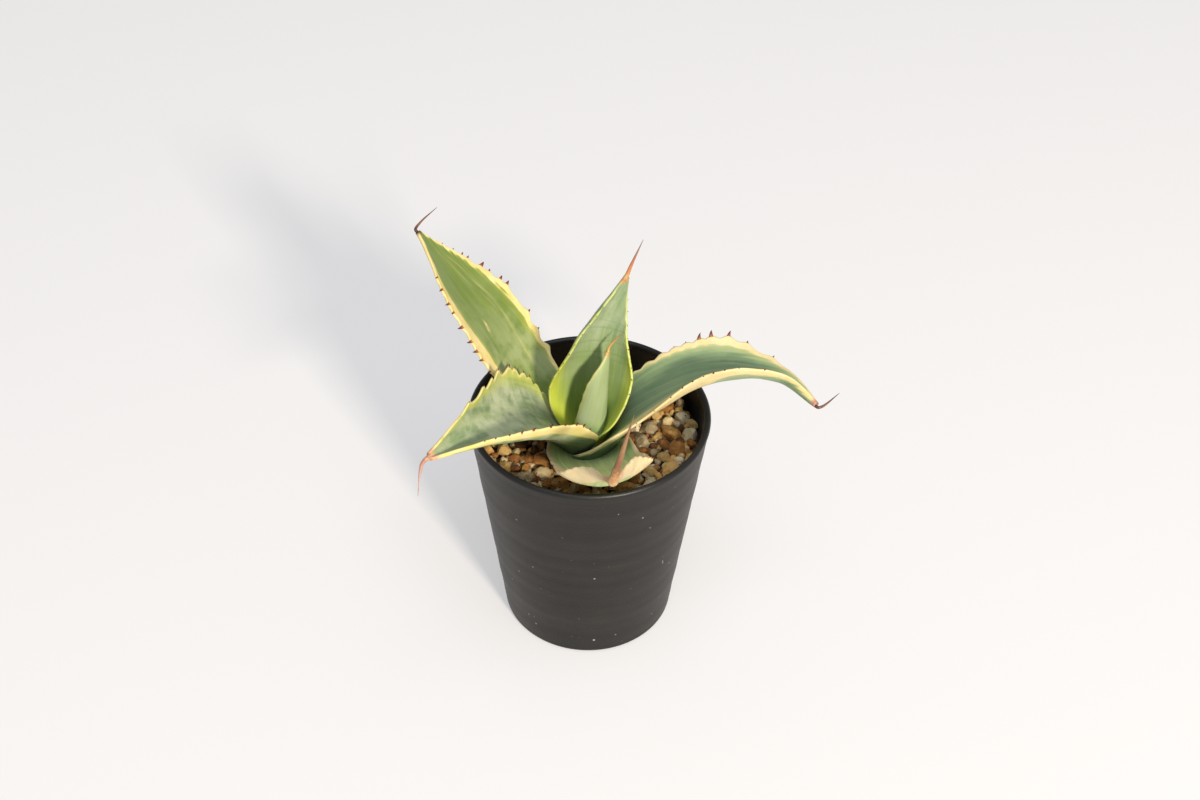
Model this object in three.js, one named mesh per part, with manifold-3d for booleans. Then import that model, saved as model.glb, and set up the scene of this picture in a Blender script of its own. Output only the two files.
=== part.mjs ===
// A potted agave: a short-stemmed rosette of six broad variegated leaves with toothed
// margins and horny end spines, standing in a tapered nursery pot of mineral granules.
//
// Millimetres, +Z up. The origin is the middle of the pot's flat underside, and the
// viewer stands on the -Y side. Angles are in degrees, azimuths are counted from +X
// towards +Y.

import * as THREE from 'three';
import { mergeVertices } from 'three/addons/utils/BufferGeometryUtils.js';
import Module from 'manifold-3d';

const wasm = await Module();
wasm.setup();

// ---------------------------------------------------------------------------------
// Driving dimensions
// ---------------------------------------------------------------------------------

const GAP = 0.3; // clearance kept between neighbouring pieces

const POT = {
  height: 113.8,
  rimRadius: 52.5,
  footRadius: 38.5,
  footRounding: 2.5,
  footSteps: 3,
  wall: 2.0,
  floor: 2.6,
  lipWidth: 3.0,
  lipDepth: 3.4,
  lipRise: 1.7, // height of the lip's rounded top
  lipSlope: 1.2, // height over which the lip runs back into the wall
  lipSteps: 6,
  drainHoles: 6,
  drainHoleRadius: 3.5,
  drainHoleSides: 16,
  drainCircleRadius: 25,
  segments: 48,
};

const SOIL = {
  level: 95.6, // top of the fill between the granules that lie on it
  heap: 5.5, // how much higher the fill lies against the wall on its high side
  heapAzimuth: 20,
  granules: 165,
  smallest: 2.0, // half-sizes of a granule
  largest: 4.6,
  sunk: 0.22, // share of its half-size that a granule's middle lies below the level
  apart: 0.9, // share of two granules' half-sizes that their middles keep apart
  clearOfStem: 2,
  dent: 0.2, // share of its half-size that a corner is drawn in by, at most
  narrow: 0.18, // shares by which a granule is narrower and lower than it is long, at most
  low: 0.3,
  tilt: 0.3,
  tries: 60, // places tried for each granule
  seed: 2027,
};

const STEM = { bottom: 62, shoulder: 88, top: 100.5, radius: 11.5, crownSteps: 5, sides: 24 };

// A leaf is laid along its midrib. Every list runs from the base to the tip in even
// steps: the midrib's points are (outwards, sideways, upwards) from the pot's axis in
// the leaf's own azimuth, halfWidth is measured along the curved blade, fold is the
// angle that the blade's margins have turned up by, roll turns the whole section, and
// thickness is that of the middle. Teeth are places along the right and left margins,
// as shares of the leaf's length. The spine's points are measured from the leaf's tip.
const LEAVES = [
  {
    name: 'leaf_inner',
    azimuth: -52,
    midrib: [[3, -1.5, 98], [3.5, 0, 110], [3.5, 2, 122], [3, 4.5, 134], [2, 7, 145.5]],
    halfWidth: [10, 8.5, 7.5, 6.5, 1.1],
    fold: [115, 76, 64, 52, 24],
    roll: [-19, 4, 45],
    thickness: [3, 3, 2.6, 2.2, 1.6],
    rightTeeth: [0.42, 0.56, 0.68, 0.8],
    leftTeeth: [0.4, 0.54, 0.67, 0.79],
    toothLength: 0.9,
    spine: [[1.5, 0.6, 3.6], [5.6, 1.2, 8.6]],
    spineRadius: 0.85,
    colour: '#a9bf7c',
  },
  {
    name: 'leaf_centre',
    azimuth: 75,
    midrib: [
      [6.5, 0, 98], [8, 0.5, 114], [10, 0, 130.5],
      [11, -1, 147], [13, -5.5, 162.5], [14.5, -11.5, 177.5],
    ],
    halfWidth: [14.5, 21, 20, 14, 7, 1.2],
    fold: [114, 80, 66, 67, 54, 26],
    roll: [-26, 16, 54],
    thickness: [4.5, 4.2, 3.6, 3, 2.4, 1.8],
    rightTeeth: [0.3, 0.36, 0.432, 0.49, 0.54, 0.595, 0.66, 0.73, 0.8, 0.868],
    leftTeeth: [0.3, 0.38, 0.45, 0.5, 0.552, 0.6, 0.655, 0.71, 0.763, 0.82],
    toothLength: 1.3,
    spine: [[2.2, 0.2, 6.4], [6.6, 0.6, 18.4]],
    spineRadius: 1.3,
    colour: '#a3b681',
  },
  {
    name: 'leaf_front_left',
    azimuth: -131,
    midrib: [
      [10, -1.5, 94.5], [15.5, -4.5, 110], [29, -7, 121.5],
      [46, -5.5, 132.5], [67, -3.5, 143], [91, -1, 150.5],
    ],
    halfWidth: [8, 21.5, 27, 20.5, 11.5, 1.2],
    fold: [80, 53, 64, 73, 81, 100],
    roll: [-4, -7, -29],
    thickness: [5, 4.8, 3.6, 3, 2.4, 1.8],
    rightTeeth: [0.195, 0.24, 0.283, 0.318, 0.37, 0.408, 0.503, 0.59, 0.67, 0.775],
    leftTeeth: [0.3, 0.38, 0.45, 0.512, 0.575, 0.647, 0.693, 0.74, 0.79, 0.828],
    toothLength: 2.1,
    spine: [[-2.6, -2.6, -1.2], [-4.2, -9.4, -11.6]],
    spineRadius: 1.3,
    colour: '#9fae8a',
  },
  {
    name: 'leaf_back_left',
    azimuth: 150,
    midrib: [
      [10.5, -0.5, 92], [23.5, 0.5, 109], [36.5, 0.5, 125.5],
      [49.5, 1, 143], [66.5, 2, 160], [84, 1, 178],
    ],
    halfWidth: [11, 15, 19.5, 24.5, 19, 1.2],
    fold: [66, 40, 20, 16, 16, 20],
    roll: [-23, -4, 11, 20, 28],
    thickness: [5, 4.6, 3.6, 3, 2.4, 1.8],
    rightTeeth: [0.36, 0.435, 0.51, 0.642, 0.672, 0.723, 0.76, 0.82, 0.843, 0.878, 0.917],
    leftTeeth: [0.36, 0.42, 0.485, 0.545, 0.583, 0.623, 0.68, 0.733, 0.763, 0.81, 0.848],
    toothLength: 2.0,
    spine: [[1.6, 1.2, 4.4], [8.6, 3.2, 10.6]],
    spineRadius: 1.2,
    colour: '#93ad54',
  },
  {
    name: 'leaf_right',
    azimuth: -3,
    midrib: [
      [5.5, 1.5, 94.5], [17.5, 4.5, 113], [41, 10.5, 126],
      [60, 12, 131], [80.5, 9.5, 130.5], [96, -4, 128],
    ],
    halfWidth: [26, 18, 17.5, 19, 10, 1.2],
    fold: [52, 19, 49, 51, 43, 91],
    roll: [-11, 0, -11, -26, -42],
    thickness: [5, 4.6, 3.6, 3, 2.4, 1.8],
    rightTeeth: [0.22, 0.28, 0.34, 0.39, 0.435, 0.485, 0.53, 0.58, 0.63, 0.733],
    leftTeeth: [0.25, 0.3, 0.348, 0.39, 0.43, 0.478, 0.522, 0.585, 0.66, 0.748],
    toothLength: 2.2,
    spine: [[2.8, -0.8, 0.4], [9.2, -0.4, 7.6]],
    spineRadius: 1.2,
    colour: '#86a17f',
  },
  {
    name: 'leaf_front',
    azimuth: -85,
    midrib: [[9, -1, 97], [22, 0, 103.5], [36, 3, 111.5], [50, 3.5, 122], [62, 5, 135], [76, 3, 147]],
    halfWidth: [20, 21, 20.5, 19.5, 10, 1.4],
    fold: [60, 32, 28, 34, 64, 54],
    roll: [-8, 4, 12],
    thickness: [6, 4.8, 3.6, 3, 2.6, 2.2],
    rightTeeth: [0.3, 0.38, 0.46, 0.56, 0.61, 0.657, 0.7, 0.74, 0.8, 0.86],
    leftTeeth: [0.3, 0.38, 0.46, 0.557, 0.6, 0.65, 0.71, 0.76, 0.81, 0.87],
    toothLength: 2.0,
    spine: [[2, -1, 9.5], [6.9, 5, 27]],
    spineRadius: 2.2,
    colour: '#c9c795',
  },
];

const BLADE = {
  columns: 8, // strips across a blade
  edge: 0.9, // thickness at the margin
  scallop: 1.0, // height of the bump that carries each tooth
  scallopLength: 2.4,
  scallopStart: 0.25, // share of the leaf's length over which scallops grow at the base
  scallopEnd: 0.17, // and over which they fade at the tip
  basalRows: 4, // rows between the base and the first tooth
  lengthSteps: 40, // steps in which the midrib's length is summed
};

const TOOTH = {
  root: 1.1, // depth that a tooth is sunk into the blade's edge
  halfRoot: 0.35, // half the length of the smallest tooth's root
  halfDepth: 0.32,
  lean: 0.3, // lean towards the leaf's tip, as a share of the tooth's length
  smallest: 0.5, // share of the full length that the teeth at the base and the tip have
  growFrom: 0.16, // share of the leaf's length where they start to be longer
};

const SPINE = {
  sides: 8,
  rings: 7,
  straight: 1.2, // first stretch, which goes on in the leaf's own direction
  flatness: 0.8, // thickness as a share of the width
  tipRadius: 0.12,
};

// ---------------------------------------------------------------------------------
// Solids
// ---------------------------------------------------------------------------------

/** A closed geometry as a solid that can be joined and cut. */
function toSolid(geometry) {
  const bare = geometry.clone();
  bare.deleteAttribute('normal');
  bare.deleteAttribute('uv');
  const merged = mergeVertices(bare, 1e-4);
  return new wasm.Manifold(
    new wasm.Mesh({
      numProp: 3,
      vertProperties: new Float32Array(merged.attributes.position.array),
      triVerts: new Uint32Array(merged.index.array),
    }),
  );
}

/** A solid back as a geometry for a mesh. */
function toGeometry(solid) {
  const mesh = solid.getMesh();
  const geometry = new THREE.BufferGeometry();
  geometry.setAttribute('position', new THREE.BufferAttribute(mesh.vertProperties, 3));
  geometry.setIndex(new THREE.BufferAttribute(mesh.triVerts, 1));
  geometry.computeVertexNormals();
  return geometry;
}

/** The largest body of a solid, without the scraps that a cut leaves. */
function largestBody(solid) {
  const bodies = solid.decompose();
  bodies.sort((a, b) => b.volume() - a.volume());
  return bodies[0];
}

/** A geometry from plain lists of points and triangles. */
function fromLists(points, triangles) {
  const numbers = points.flatMap((point) => [point.x, point.y, point.z]);
  const geometry = new THREE.BufferGeometry();
  geometry.setAttribute('position', new THREE.Float32BufferAttribute(numbers, 3));
  geometry.setIndex(triangles.flat());
  return geometry;
}

/** Points of an oval arc about a middle, from one angle to another in even steps. */
function arc([x, y], halfWidth, halfHeight, from, to, steps) {
  return Array.from({ length: steps + 1 }, (_, i) => {
    const angle = THREE.MathUtils.degToRad(from + ((to - from) * i) / steps);
    return [x + halfWidth * Math.cos(angle), y + halfHeight * Math.sin(angle)];
  });
}

/** A profile of [radius, height] points turned about the vertical axis. */
function turned(profile, segments) {
  const geometry = new THREE.LatheGeometry(
    profile.map(([radius, height]) => new THREE.Vector2(radius, height)),
    segments,
  );
  geometry.rotateX(Math.PI / 2);
  return geometry;
}

/** Repeatable random numbers in 0..1. */
function randomFrom(seed) {
  let state = seed;
  return () => {
    state = (state * 16807) % 2147483647;
    return state / 2147483647;
  };
}

// ---------------------------------------------------------------------------------
// Pot: a tapered thin-walled pot with a rounded lip and a flat, drained floor
// ---------------------------------------------------------------------------------

/** Outer radius of the pot's tapered wall at a height. */
function wallRadius(height) {
  return POT.footRadius + ((POT.rimRadius - POT.footRadius) * height) / POT.height;
}

function buildPot() {
  const { height, footRounding, wall, floor, lipWidth, lipDepth, lipRise, lipSlope } = POT;
  const inside = (z) => wallRadius(z) - wall;
  const halfLip = lipWidth / 2;
  const lipMiddle = wallRadius(height) - halfLip;
  const lipFoot = height - lipDepth - lipSlope;
  const footMiddle = [wallRadius(footRounding) - footRounding, footRounding];
  const profile = [
    [0, 0],
    ...arc(footMiddle, footRounding, footRounding, -90, 0, POT.footSteps),
    ...arc([lipMiddle, height - lipRise], halfLip, lipRise, 0, 180, POT.lipSteps),
    [lipMiddle - halfLip, height - lipDepth],
    [inside(lipFoot), lipFoot],
    [inside(floor), floor],
    [0, floor],
  ];
  let pot = toSolid(turned(profile, POT.segments));
  for (let i = 0; i < POT.drainHoles; i++) {
    const angle = (2 * Math.PI * (i + 0.5)) / POT.drainHoles;
    const radius = POT.drainHoleRadius;
    const drill = new THREE.CylinderGeometry(radius, radius, 4 * floor, POT.drainHoleSides);
    drill.rotateX(Math.PI / 2);
    drill.translate(POT.drainCircleRadius * Math.cos(angle), POT.drainCircleRadius * Math.sin(angle), 0);
    pot = pot.subtract(toSolid(drill));
  }
  return pot;
}

// ---------------------------------------------------------------------------------
// Stem: the short, broad stem that the leaf bases sit on
// ---------------------------------------------------------------------------------

function buildStem(grow) {
  const { bottom, shoulder, top, radius, crownSteps, sides } = STEM;
  const girth = radius + grow;
  const profile = [
    [0, bottom - grow],
    [0.5 * radius + grow, bottom - grow],
    [girth, bottom + 0.5 * radius - grow],
    ...arc([0, shoulder], girth, top - shoulder + grow, 0, 90, crownSteps).slice(0, -1),
    [0, top + grow],
  ];
  return toSolid(turned(profile, sides));
}

// ---------------------------------------------------------------------------------
// Leaves
// ---------------------------------------------------------------------------------

/** The value at t in 0..1 of a smooth curve through evenly spaced numbers. */
function smooth(values, t) {
  const last = values.length - 1;
  const i = Math.min(Math.floor(t * last), last - 1);
  const f = t * last - i;
  const b = values[i];
  const c = values[i + 1];
  const a = i > 0 ? values[i - 1] : 2 * b - c;
  const d = i < last - 1 ? values[i + 2] : 2 * c - b;
  return b + 0.5 * f * (c - a + f * (2 * a - 5 * b + 4 * c - d + f * (3 * (b - c) + d - a)));
}

/** A point of a leaf's midrib in the pot's frame. */
function midribAt(leaf, t) {
  const [out, side, up] = [0, 1, 2].map((axis) => smooth(leaf.midrib.map((point) => point[axis]), t));
  return new THREE.Vector3(out, side, up).applyAxisAngle(
    new THREE.Vector3(0, 0, 1),
    THREE.MathUtils.degToRad(leaf.azimuth),
  );
}

/** Where the midrib is at t, with the directions along it, to its left and out of its upper face. */
function frameAt(leaf, t) {
  const step = 1e-3;
  const along = midribAt(leaf, Math.min(t + step, 1)).sub(midribAt(leaf, Math.max(t - step, 0))).normalize();
  const azimuth = THREE.MathUtils.degToRad(leaf.azimuth);
  const left = new THREE.Vector3(-Math.sin(azimuth), Math.cos(azimuth), 0);
  left.addScaledVector(along, -left.dot(along)).normalize();
  left.applyAxisAngle(along, THREE.MathUtils.degToRad(smooth(leaf.roll, t)));
  const face = along.clone().cross(left);
  return { origin: midribAt(leaf, t), along, left, face };
}

function leafLength(leaf) {
  const steps = BLADE.lengthSteps;
  let length = 0;
  for (let i = 0; i < steps; i++) {
    length += midribAt(leaf, i / steps).distanceTo(midribAt(leaf, (i + 1) / steps));
  }
  return length;
}

/** How far the scalloped margin stands out at t: a bump at each tooth, a hollow between. */
function scallopAt(teeth, t, length) {
  let bump = 0;
  for (const tooth of teeth) {
    const distance = ((t - tooth) * length) / BLADE.scallopLength;
    bump = Math.max(bump, Math.exp(-distance * distance));
  }
  const fade = Math.min(1, (1 - t) / BLADE.scallopEnd) * Math.min(1, t / BLADE.scallopStart);
  return BLADE.scallop * fade * (bump - 0.5);
}

/**
 * The blade's upper and lower points at t and u, where u runs from -1 at the right
 * margin to 1 at the left one. The section is an arc that opens upwards; the lower
 * face is offset from it by the thickness. grow fattens the blade all round.
 */
function bladeAt(leaf, length, t, u, grow) {
  const { origin, along, left, face } = frameAt(leaf, t);
  const side = Math.sign(u);
  const reach = Math.abs(u);
  const teeth = side < 0 ? leaf.rightTeeth : leaf.leftTeeth;
  const halfWidth = smooth(leaf.halfWidth, t) + scallopAt(teeth, t, length) * reach ** 3 + grow;
  const fold = THREE.MathUtils.degToRad(smooth(leaf.fold, t));
  const turn = fold * reach;
  const middle = smooth(leaf.thickness, t);
  const edge = Math.min(BLADE.edge, middle);
  const thickness = edge + (middle - edge) * (1 - reach ** 2);
  const across = (side * halfWidth * Math.sin(turn)) / fold;
  const rise = (halfWidth * (1 - Math.cos(turn))) / fold;
  const down = left.clone().multiplyScalar(side * Math.sin(turn)).addScaledVector(face, -Math.cos(turn));
  const upper = origin.addScaledVector(left, across).addScaledVector(face, rise);
  if (t === 0) upper.addScaledVector(along, -grow);
  if (t === 1) upper.addScaledVector(along, grow);
  const lower = upper.clone().addScaledVector(down, thickness + grow);
  upper.addScaledVector(down, -grow);
  return { upper, lower };
}

/** The rows of a blade as pairs of places on the right and left margins. */
function bladeRows(leaf) {
  const oneSide = (teeth) => {
    const rows = [];
    for (let i = 0; i < BLADE.basalRows; i++) rows.push((teeth[0] * 0.85 * i) / (BLADE.basalRows - 1));
    teeth.forEach((tooth, i) => {
      const next = teeth[i + 1] ?? tooth + 0.6 * (1 - tooth);
      rows.push(tooth, (tooth + next) / 2);
    });
    rows.push(1);
    return rows;
  };
  const right = oneSide(leaf.rightTeeth);
  return oneSide(leaf.leftTeeth).map((left, i) => [right[i], left]);
}

/** A leaf's blade as a closed shell, split into triangles alike on both faces. */
function buildBlade(leaf, grow) {
  const length = leafLength(leaf);
  const rows = bladeRows(leaf);
  const columns = BLADE.columns;
  const points = [];
  for (const [right, left] of rows) {
    for (let j = 0; j <= columns; j++) {
      const share = j / columns;
      const { upper, lower } = bladeAt(leaf, length, right + (left - right) * share, 2 * share - 1, grow);
      points.push(upper, lower);
    }
  }
  const upper = (i, j) => 2 * (i * (columns + 1) + j);
  const lower = (i, j) => upper(i, j) + 1;
  const triangles = [];
  const quad = (a, b, c, d) => triangles.push([a, b, c], [a, c, d]);
  const lastRow = rows.length - 1;
  for (let i = 0; i < lastRow; i++) {
    for (let j = 0; j < columns; j++) {
      quad(upper(i, j), upper(i + 1, j), upper(i + 1, j + 1), upper(i, j + 1));
      triangles.push([lower(i, j), lower(i + 1, j + 1), lower(i + 1, j)]);
      triangles.push([lower(i, j), lower(i, j + 1), lower(i + 1, j + 1)]);
    }
    quad(upper(i, 0), lower(i, 0), lower(i + 1, 0), upper(i + 1, 0));
    quad(upper(i, columns), upper(i + 1, columns), lower(i + 1, columns), lower(i, columns));
  }
  for (let j = 0; j < columns; j++) {
    quad(upper(0, j), upper(0, j + 1), lower(0, j + 1), lower(0, j));
    quad(upper(lastRow, j), lower(lastRow, j), lower(lastRow, j + 1), upper(lastRow, j + 1));
  }
  return toSolid(fromLists(points, triangles));
}

/** One margin tooth: a four-sided point whose root is sunk into the blade's edge. */
function buildTooth(leaf, length, t, side, grow) {
  const here = bladeAt(leaf, length, t, side, 0);
  const inner = bladeAt(leaf, length, t, 0.9 * side, 0);
  const ahead = bladeAt(leaf, length, t + 0.01, side, 0);
  const middle = (pair) => pair.upper.clone().lerp(pair.lower, 0.5);
  const margin = middle(here);
  const outward = margin.clone().sub(middle(inner)).normalize();
  const along = middle(ahead).sub(margin);
  along.addScaledVector(outward, -along.dot(outward)).normalize();
  const through = here.upper.clone().sub(here.lower).normalize();
  const share = THREE.MathUtils.clamp((t - TOOTH.growFrom) / (1 - TOOTH.growFrom), 0, 1);
  const size = leaf.toothLength * THREE.MathUtils.lerp(TOOTH.smallest, 1, Math.sin(Math.PI * share));
  const root = margin.clone().addScaledVector(outward, -TOOTH.root);
  const corner = (a, b) => root.clone().addScaledVector(along, a).addScaledVector(through, b);
  const halfRoot = TOOTH.halfRoot * (1 + size) + 1.5 * grow;
  const halfDepth = TOOTH.halfDepth + 1.5 * grow;
  const apex = margin.clone().addScaledVector(outward, size + 2 * grow);
  apex.addScaledVector(along, TOOTH.lean * size);
  const points = [
    corner(-halfRoot, -halfDepth),
    corner(halfRoot, -halfDepth),
    corner(halfRoot, halfDepth),
    corner(-halfRoot, halfDepth),
    apex,
  ];
  const triangles = [[0, 2, 1], [0, 3, 2], [0, 1, 4], [1, 2, 4], [2, 3, 4], [3, 0, 4]];
  const tooth = toSolid(fromLists(points, triangles));
  return tooth.volume() > 0 ? tooth : toSolid(fromLists(points, triangles.map(([a, b, c]) => [a, c, b])));
}

/** A blade with its teeth, fattened by grow. */
function buildToothedBlade(leaf, grow) {
  const length = leafLength(leaf);
  const teeth = [
    ...leaf.rightTeeth.map((t) => buildTooth(leaf, length, t, -1, grow)),
    ...leaf.leftTeeth.map((t) => buildTooth(leaf, length, t, 1, grow)),
  ];
  return wasm.Manifold.union([buildBlade(leaf, grow), ...teeth]);
}

/** A leaf cut clear of what grows inside it. */
function buildLeaf(leaf, inside) {
  const leafSolid = buildToothedBlade(leaf, 0).subtract(wasm.Manifold.union(inside));
  return largestBody(leafSolid.simplify(0.01));
}

/** A leaf's horny end spine: a curved, tapering point that starts just past the tip. */
function buildSpine(leaf) {
  const { origin, along, left, face } = frameAt(leaf, 1);
  const start = origin
    .clone()
    .addScaledVector(face, -0.5 * leaf.thickness.at(-1))
    .addScaledVector(along, GAP);
  const path = new THREE.CatmullRomCurve3([
    start,
    start.clone().addScaledVector(along, SPINE.straight),
    ...leaf.spine.map((offset) => start.clone().add(new THREE.Vector3(...offset))),
  ]);
  const points = [];
  const triangles = [];
  for (let i = 0; i < SPINE.rings; i++) {
    const share = i / (SPINE.rings - 1);
    const forward = path.getTangentAt(share);
    const across = left.clone().addScaledVector(forward, -left.dot(forward)).normalize();
    const up = forward.clone().cross(across);
    const radius = THREE.MathUtils.lerp(leaf.spineRadius, SPINE.tipRadius, share ** 0.8);
    for (let j = 0; j < SPINE.sides; j++) {
      const angle = (2 * Math.PI * j) / SPINE.sides;
      points.push(
        path
          .getPointAt(share)
          .addScaledVector(across, radius * Math.cos(angle))
          .addScaledVector(up, SPINE.flatness * radius * Math.sin(angle)),
      );
    }
  }
  for (let i = 0; i < SPINE.rings - 1; i++) {
    for (let j = 0; j < SPINE.sides; j++) {
      const next = (j + 1) % SPINE.sides;
      const a = i * SPINE.sides + j;
      const b = i * SPINE.sides + next;
      triangles.push([a, b, b + SPINE.sides], [a, b + SPINE.sides, a + SPINE.sides]);
    }
  }
  const lastRing = (SPINE.rings - 1) * SPINE.sides;
  for (let j = 1; j < SPINE.sides - 1; j++) {
    triangles.push([0, j + 1, j], [lastRing, lastRing + j, lastRing + j + 1]);
  }
  return toSolid(fromLists(points, triangles));
}

// ---------------------------------------------------------------------------------
// Soil: a plug of fill with a plain hole for the stem and granules lying on its top
// ---------------------------------------------------------------------------------

/** Places for the granules: largest first, each clear enough of those before it. */
function scatterGranules(random) {
  const outer = wallRadius(SOIL.level) - POT.wall - GAP;
  const inner = STEM.radius + SOIL.clearOfStem;
  const granules = [];
  for (let i = 0; i < SOIL.granules; i++) {
    const size = SOIL.largest + (SOIL.smallest - SOIL.largest) * Math.sqrt((i + 0.5) / SOIL.granules);
    for (let attempt = 0; attempt < SOIL.tries; attempt++) {
      const angle = 2 * Math.PI * random();
      const distance = Math.sqrt(inner ** 2 + ((outer - size) ** 2 - inner ** 2) * random());
      const x = distance * Math.cos(angle);
      const y = distance * Math.sin(angle);
      const clear = (other) => Math.hypot(x - other.x, y - other.y) > SOIL.apart * (size + other.size);
      if (granules.every(clear)) {
        granules.push({ x, y, size });
        break;
      }
    }
  }
  return granules;
}

/** Height of the fill above its level, which rises evenly from the axis to the high side. */
function heapAt(x, y) {
  const azimuth = THREE.MathUtils.degToRad(SOIL.heapAzimuth);
  const out = x * Math.cos(azimuth) + y * Math.sin(azimuth);
  return (SOIL.heap * Math.max(0, out)) / wallRadius(SOIL.level);
}

/** One angular granule: a stretched, turned and dented twenty-sided lump. */
function buildGranule({ x, y, size }, random) {
  const lump = new THREE.IcosahedronGeometry(size, 0).deleteAttribute('normal').deleteAttribute('uv');
  const geometry = mergeVertices(lump);
  const position = geometry.attributes.position;
  for (let i = 0; i < position.count; i++) {
    const dent = 1.06 - SOIL.dent * random();
    position.setXYZ(i, position.getX(i) * dent, position.getY(i) * dent, position.getZ(i) * dent);
  }
  geometry.scale(1, 1 - SOIL.narrow * random(), 1 - SOIL.low * random());
  geometry.rotateZ(2 * Math.PI * random());
  geometry.rotateX(2 * SOIL.tilt * (random() - 0.5));
  geometry.translate(x, y, SOIL.level + heapAt(x, y) - SOIL.sunk * size);
  return toSolid(geometry);
}

function buildSoil(leafCutters) {
  const { floor, wall, height, segments } = POT;
  const outer = (z) => wallRadius(z) - wall - GAP;
  const hole = STEM.radius + GAP;
  const top = SOIL.level + SOIL.heap;
  const plug = toSolid(
    turned(
      [
        [0, floor + GAP],
        [outer(floor + GAP), floor + GAP],
        [outer(top), top],
        [hole, top],
        [hole, STEM.bottom - GAP],
        [0, STEM.bottom - GAP],
      ],
      segments,
    ),
  );
  const azimuth = THREE.MathUtils.degToRad(SOIL.heapAzimuth);
  const slope = SOIL.heap / wallRadius(SOIL.level);
  const steep = Math.hypot(slope, 1);
  const upwards = [(slope * Math.cos(azimuth)) / steep, (slope * Math.sin(azimuth)) / steep, -1 / steep];
  const level = plug.trimByPlane([0, 0, -1], -SOIL.level);
  const heap = plug.trimByPlane(upwards, -SOIL.level / steep);
  const random = randomFrom(SOIL.seed);
  const granules = scatterGranules(random).map((granule) => buildGranule(granule, random));
  const inside = toSolid(turned([[0, 0], [outer(0), 0], [outer(height), height], [0, height]], segments));
  let soil = wasm.Manifold.union([level, heap, ...granules]).intersect(inside);
  soil = soil.subtract(wasm.Manifold.union([buildStem(GAP), ...leafCutters]));
  return largestBody(soil.simplify(0.02));
}

// ---------------------------------------------------------------------------------
// The scene graph
// ---------------------------------------------------------------------------------

const COLOURS = { pot: '#474340', soil: '#b3935f', stem: '#b9bd92', spine: '#8a5a42' };

function addMesh(group, name, solid, { colour, roughness }) {
  const material = new THREE.MeshStandardMaterial({ color: colour, roughness, metalness: 0 });
  const mesh = new THREE.Mesh(toGeometry(solid), material);
  mesh.name = name;
  group.add(mesh);
}

const agave = new THREE.Group();
addMesh(agave, 'pot', buildPot(), { colour: COLOURS.pot, roughness: 0.55 });
addMesh(agave, 'stem', buildStem(0), { colour: COLOURS.stem, roughness: 0.7 });

// The leaves are listed from the innermost out, so each is cut by the stem and by
// every leaf before it, with the gap all round.
const cutters = [buildStem(GAP)];
for (const leaf of LEAVES) {
  addMesh(agave, leaf.name, buildLeaf(leaf, cutters), { colour: leaf.colour, roughness: 0.5 });
  addMesh(agave, `${leaf.name}_spine`, buildSpine(leaf), { colour: COLOURS.spine, roughness: 0.4 });
  cutters.push(buildToothedBlade(leaf, GAP));
}
addMesh(agave, 'soil', buildSoil(cutters.slice(1)), { colour: COLOURS.soil, roughness: 0.95 });

export default agave;
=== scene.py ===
import math
from functools import partial

import bpy
import numpy as np
from mathutils import Matrix


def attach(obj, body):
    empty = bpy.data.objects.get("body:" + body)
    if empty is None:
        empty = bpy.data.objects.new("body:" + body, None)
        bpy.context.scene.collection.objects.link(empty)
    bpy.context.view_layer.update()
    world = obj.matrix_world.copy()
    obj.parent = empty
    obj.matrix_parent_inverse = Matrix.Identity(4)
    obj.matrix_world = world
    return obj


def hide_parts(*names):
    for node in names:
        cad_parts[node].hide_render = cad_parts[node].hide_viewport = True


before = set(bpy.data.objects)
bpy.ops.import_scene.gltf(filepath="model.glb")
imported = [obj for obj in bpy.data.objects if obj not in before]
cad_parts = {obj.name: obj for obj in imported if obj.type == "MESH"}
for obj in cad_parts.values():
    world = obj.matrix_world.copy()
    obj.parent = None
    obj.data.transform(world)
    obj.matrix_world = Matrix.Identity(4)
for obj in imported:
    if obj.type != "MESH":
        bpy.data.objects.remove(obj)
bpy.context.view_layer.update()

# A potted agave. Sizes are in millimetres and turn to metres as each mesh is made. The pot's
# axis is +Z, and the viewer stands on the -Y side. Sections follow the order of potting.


# --------------------------------------------------------------------
# Pot
# A tall nursery pot of black polypropylene, injection moulded in one piece. Its wall tapers
# to the foot and is a little wavy from the mould, and its mouth is rolled into a smooth lip.
# Watering has left it with dust and a few specks of lime.

MM = 0.001
POT_HEIGHT = 113.8
POT_RIM_RADIUS = 52.4
POT_FOOT_RADIUS = 38.5
POT_WALL = 2.0
POT_FLOOR = 2.6
FOOT_ROUNDING = 2.5
LIP_WIDTH = 2.9
LIP_ROUNDING = 1.7
LIP_UNDERSIDE = POT_HEIGHT - 4.6
LIP_INSIDE_END = POT_HEIGHT - 3.2
INSIDE_HEIGHTS = (POT_HEIGHT - 4.8, 60, 8)
INSIDE_ROUNDING = 1.2
WAVE = 0.1
RIPPLE = 0.025
DRAIN_HOLES = 6
DRAIN_CIRCLE_RADIUS = 25.0
DRILL = [[3.5, -6], [3.5, 9]]
POLE_RADIUS = 2


def add_object(name, data):
    """A new object of the scene, at the origin and unturned."""
    item = bpy.data.objects.new(name, data)
    bpy.context.scene.collection.objects.link(item)
    return item


def add_mesh(name, points, faces, attributes=()):
    """A mesh object from points in millimetres and lists of their numbers. Attributes are
    arrays of one number for each point, kept on the mesh under their names."""
    mesh = bpy.data.meshes.new(name)
    mesh.from_pydata((points.reshape(-1, 3) * MM).tolist(), [], faces)
    for label, values in dict(attributes).items():
        flat = values.ravel().astype(np.float32)
        mesh.attributes.new(label, "FLOAT", "POINT").data.foreach_set("value", flat)
    return add_object(name, mesh)


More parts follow.
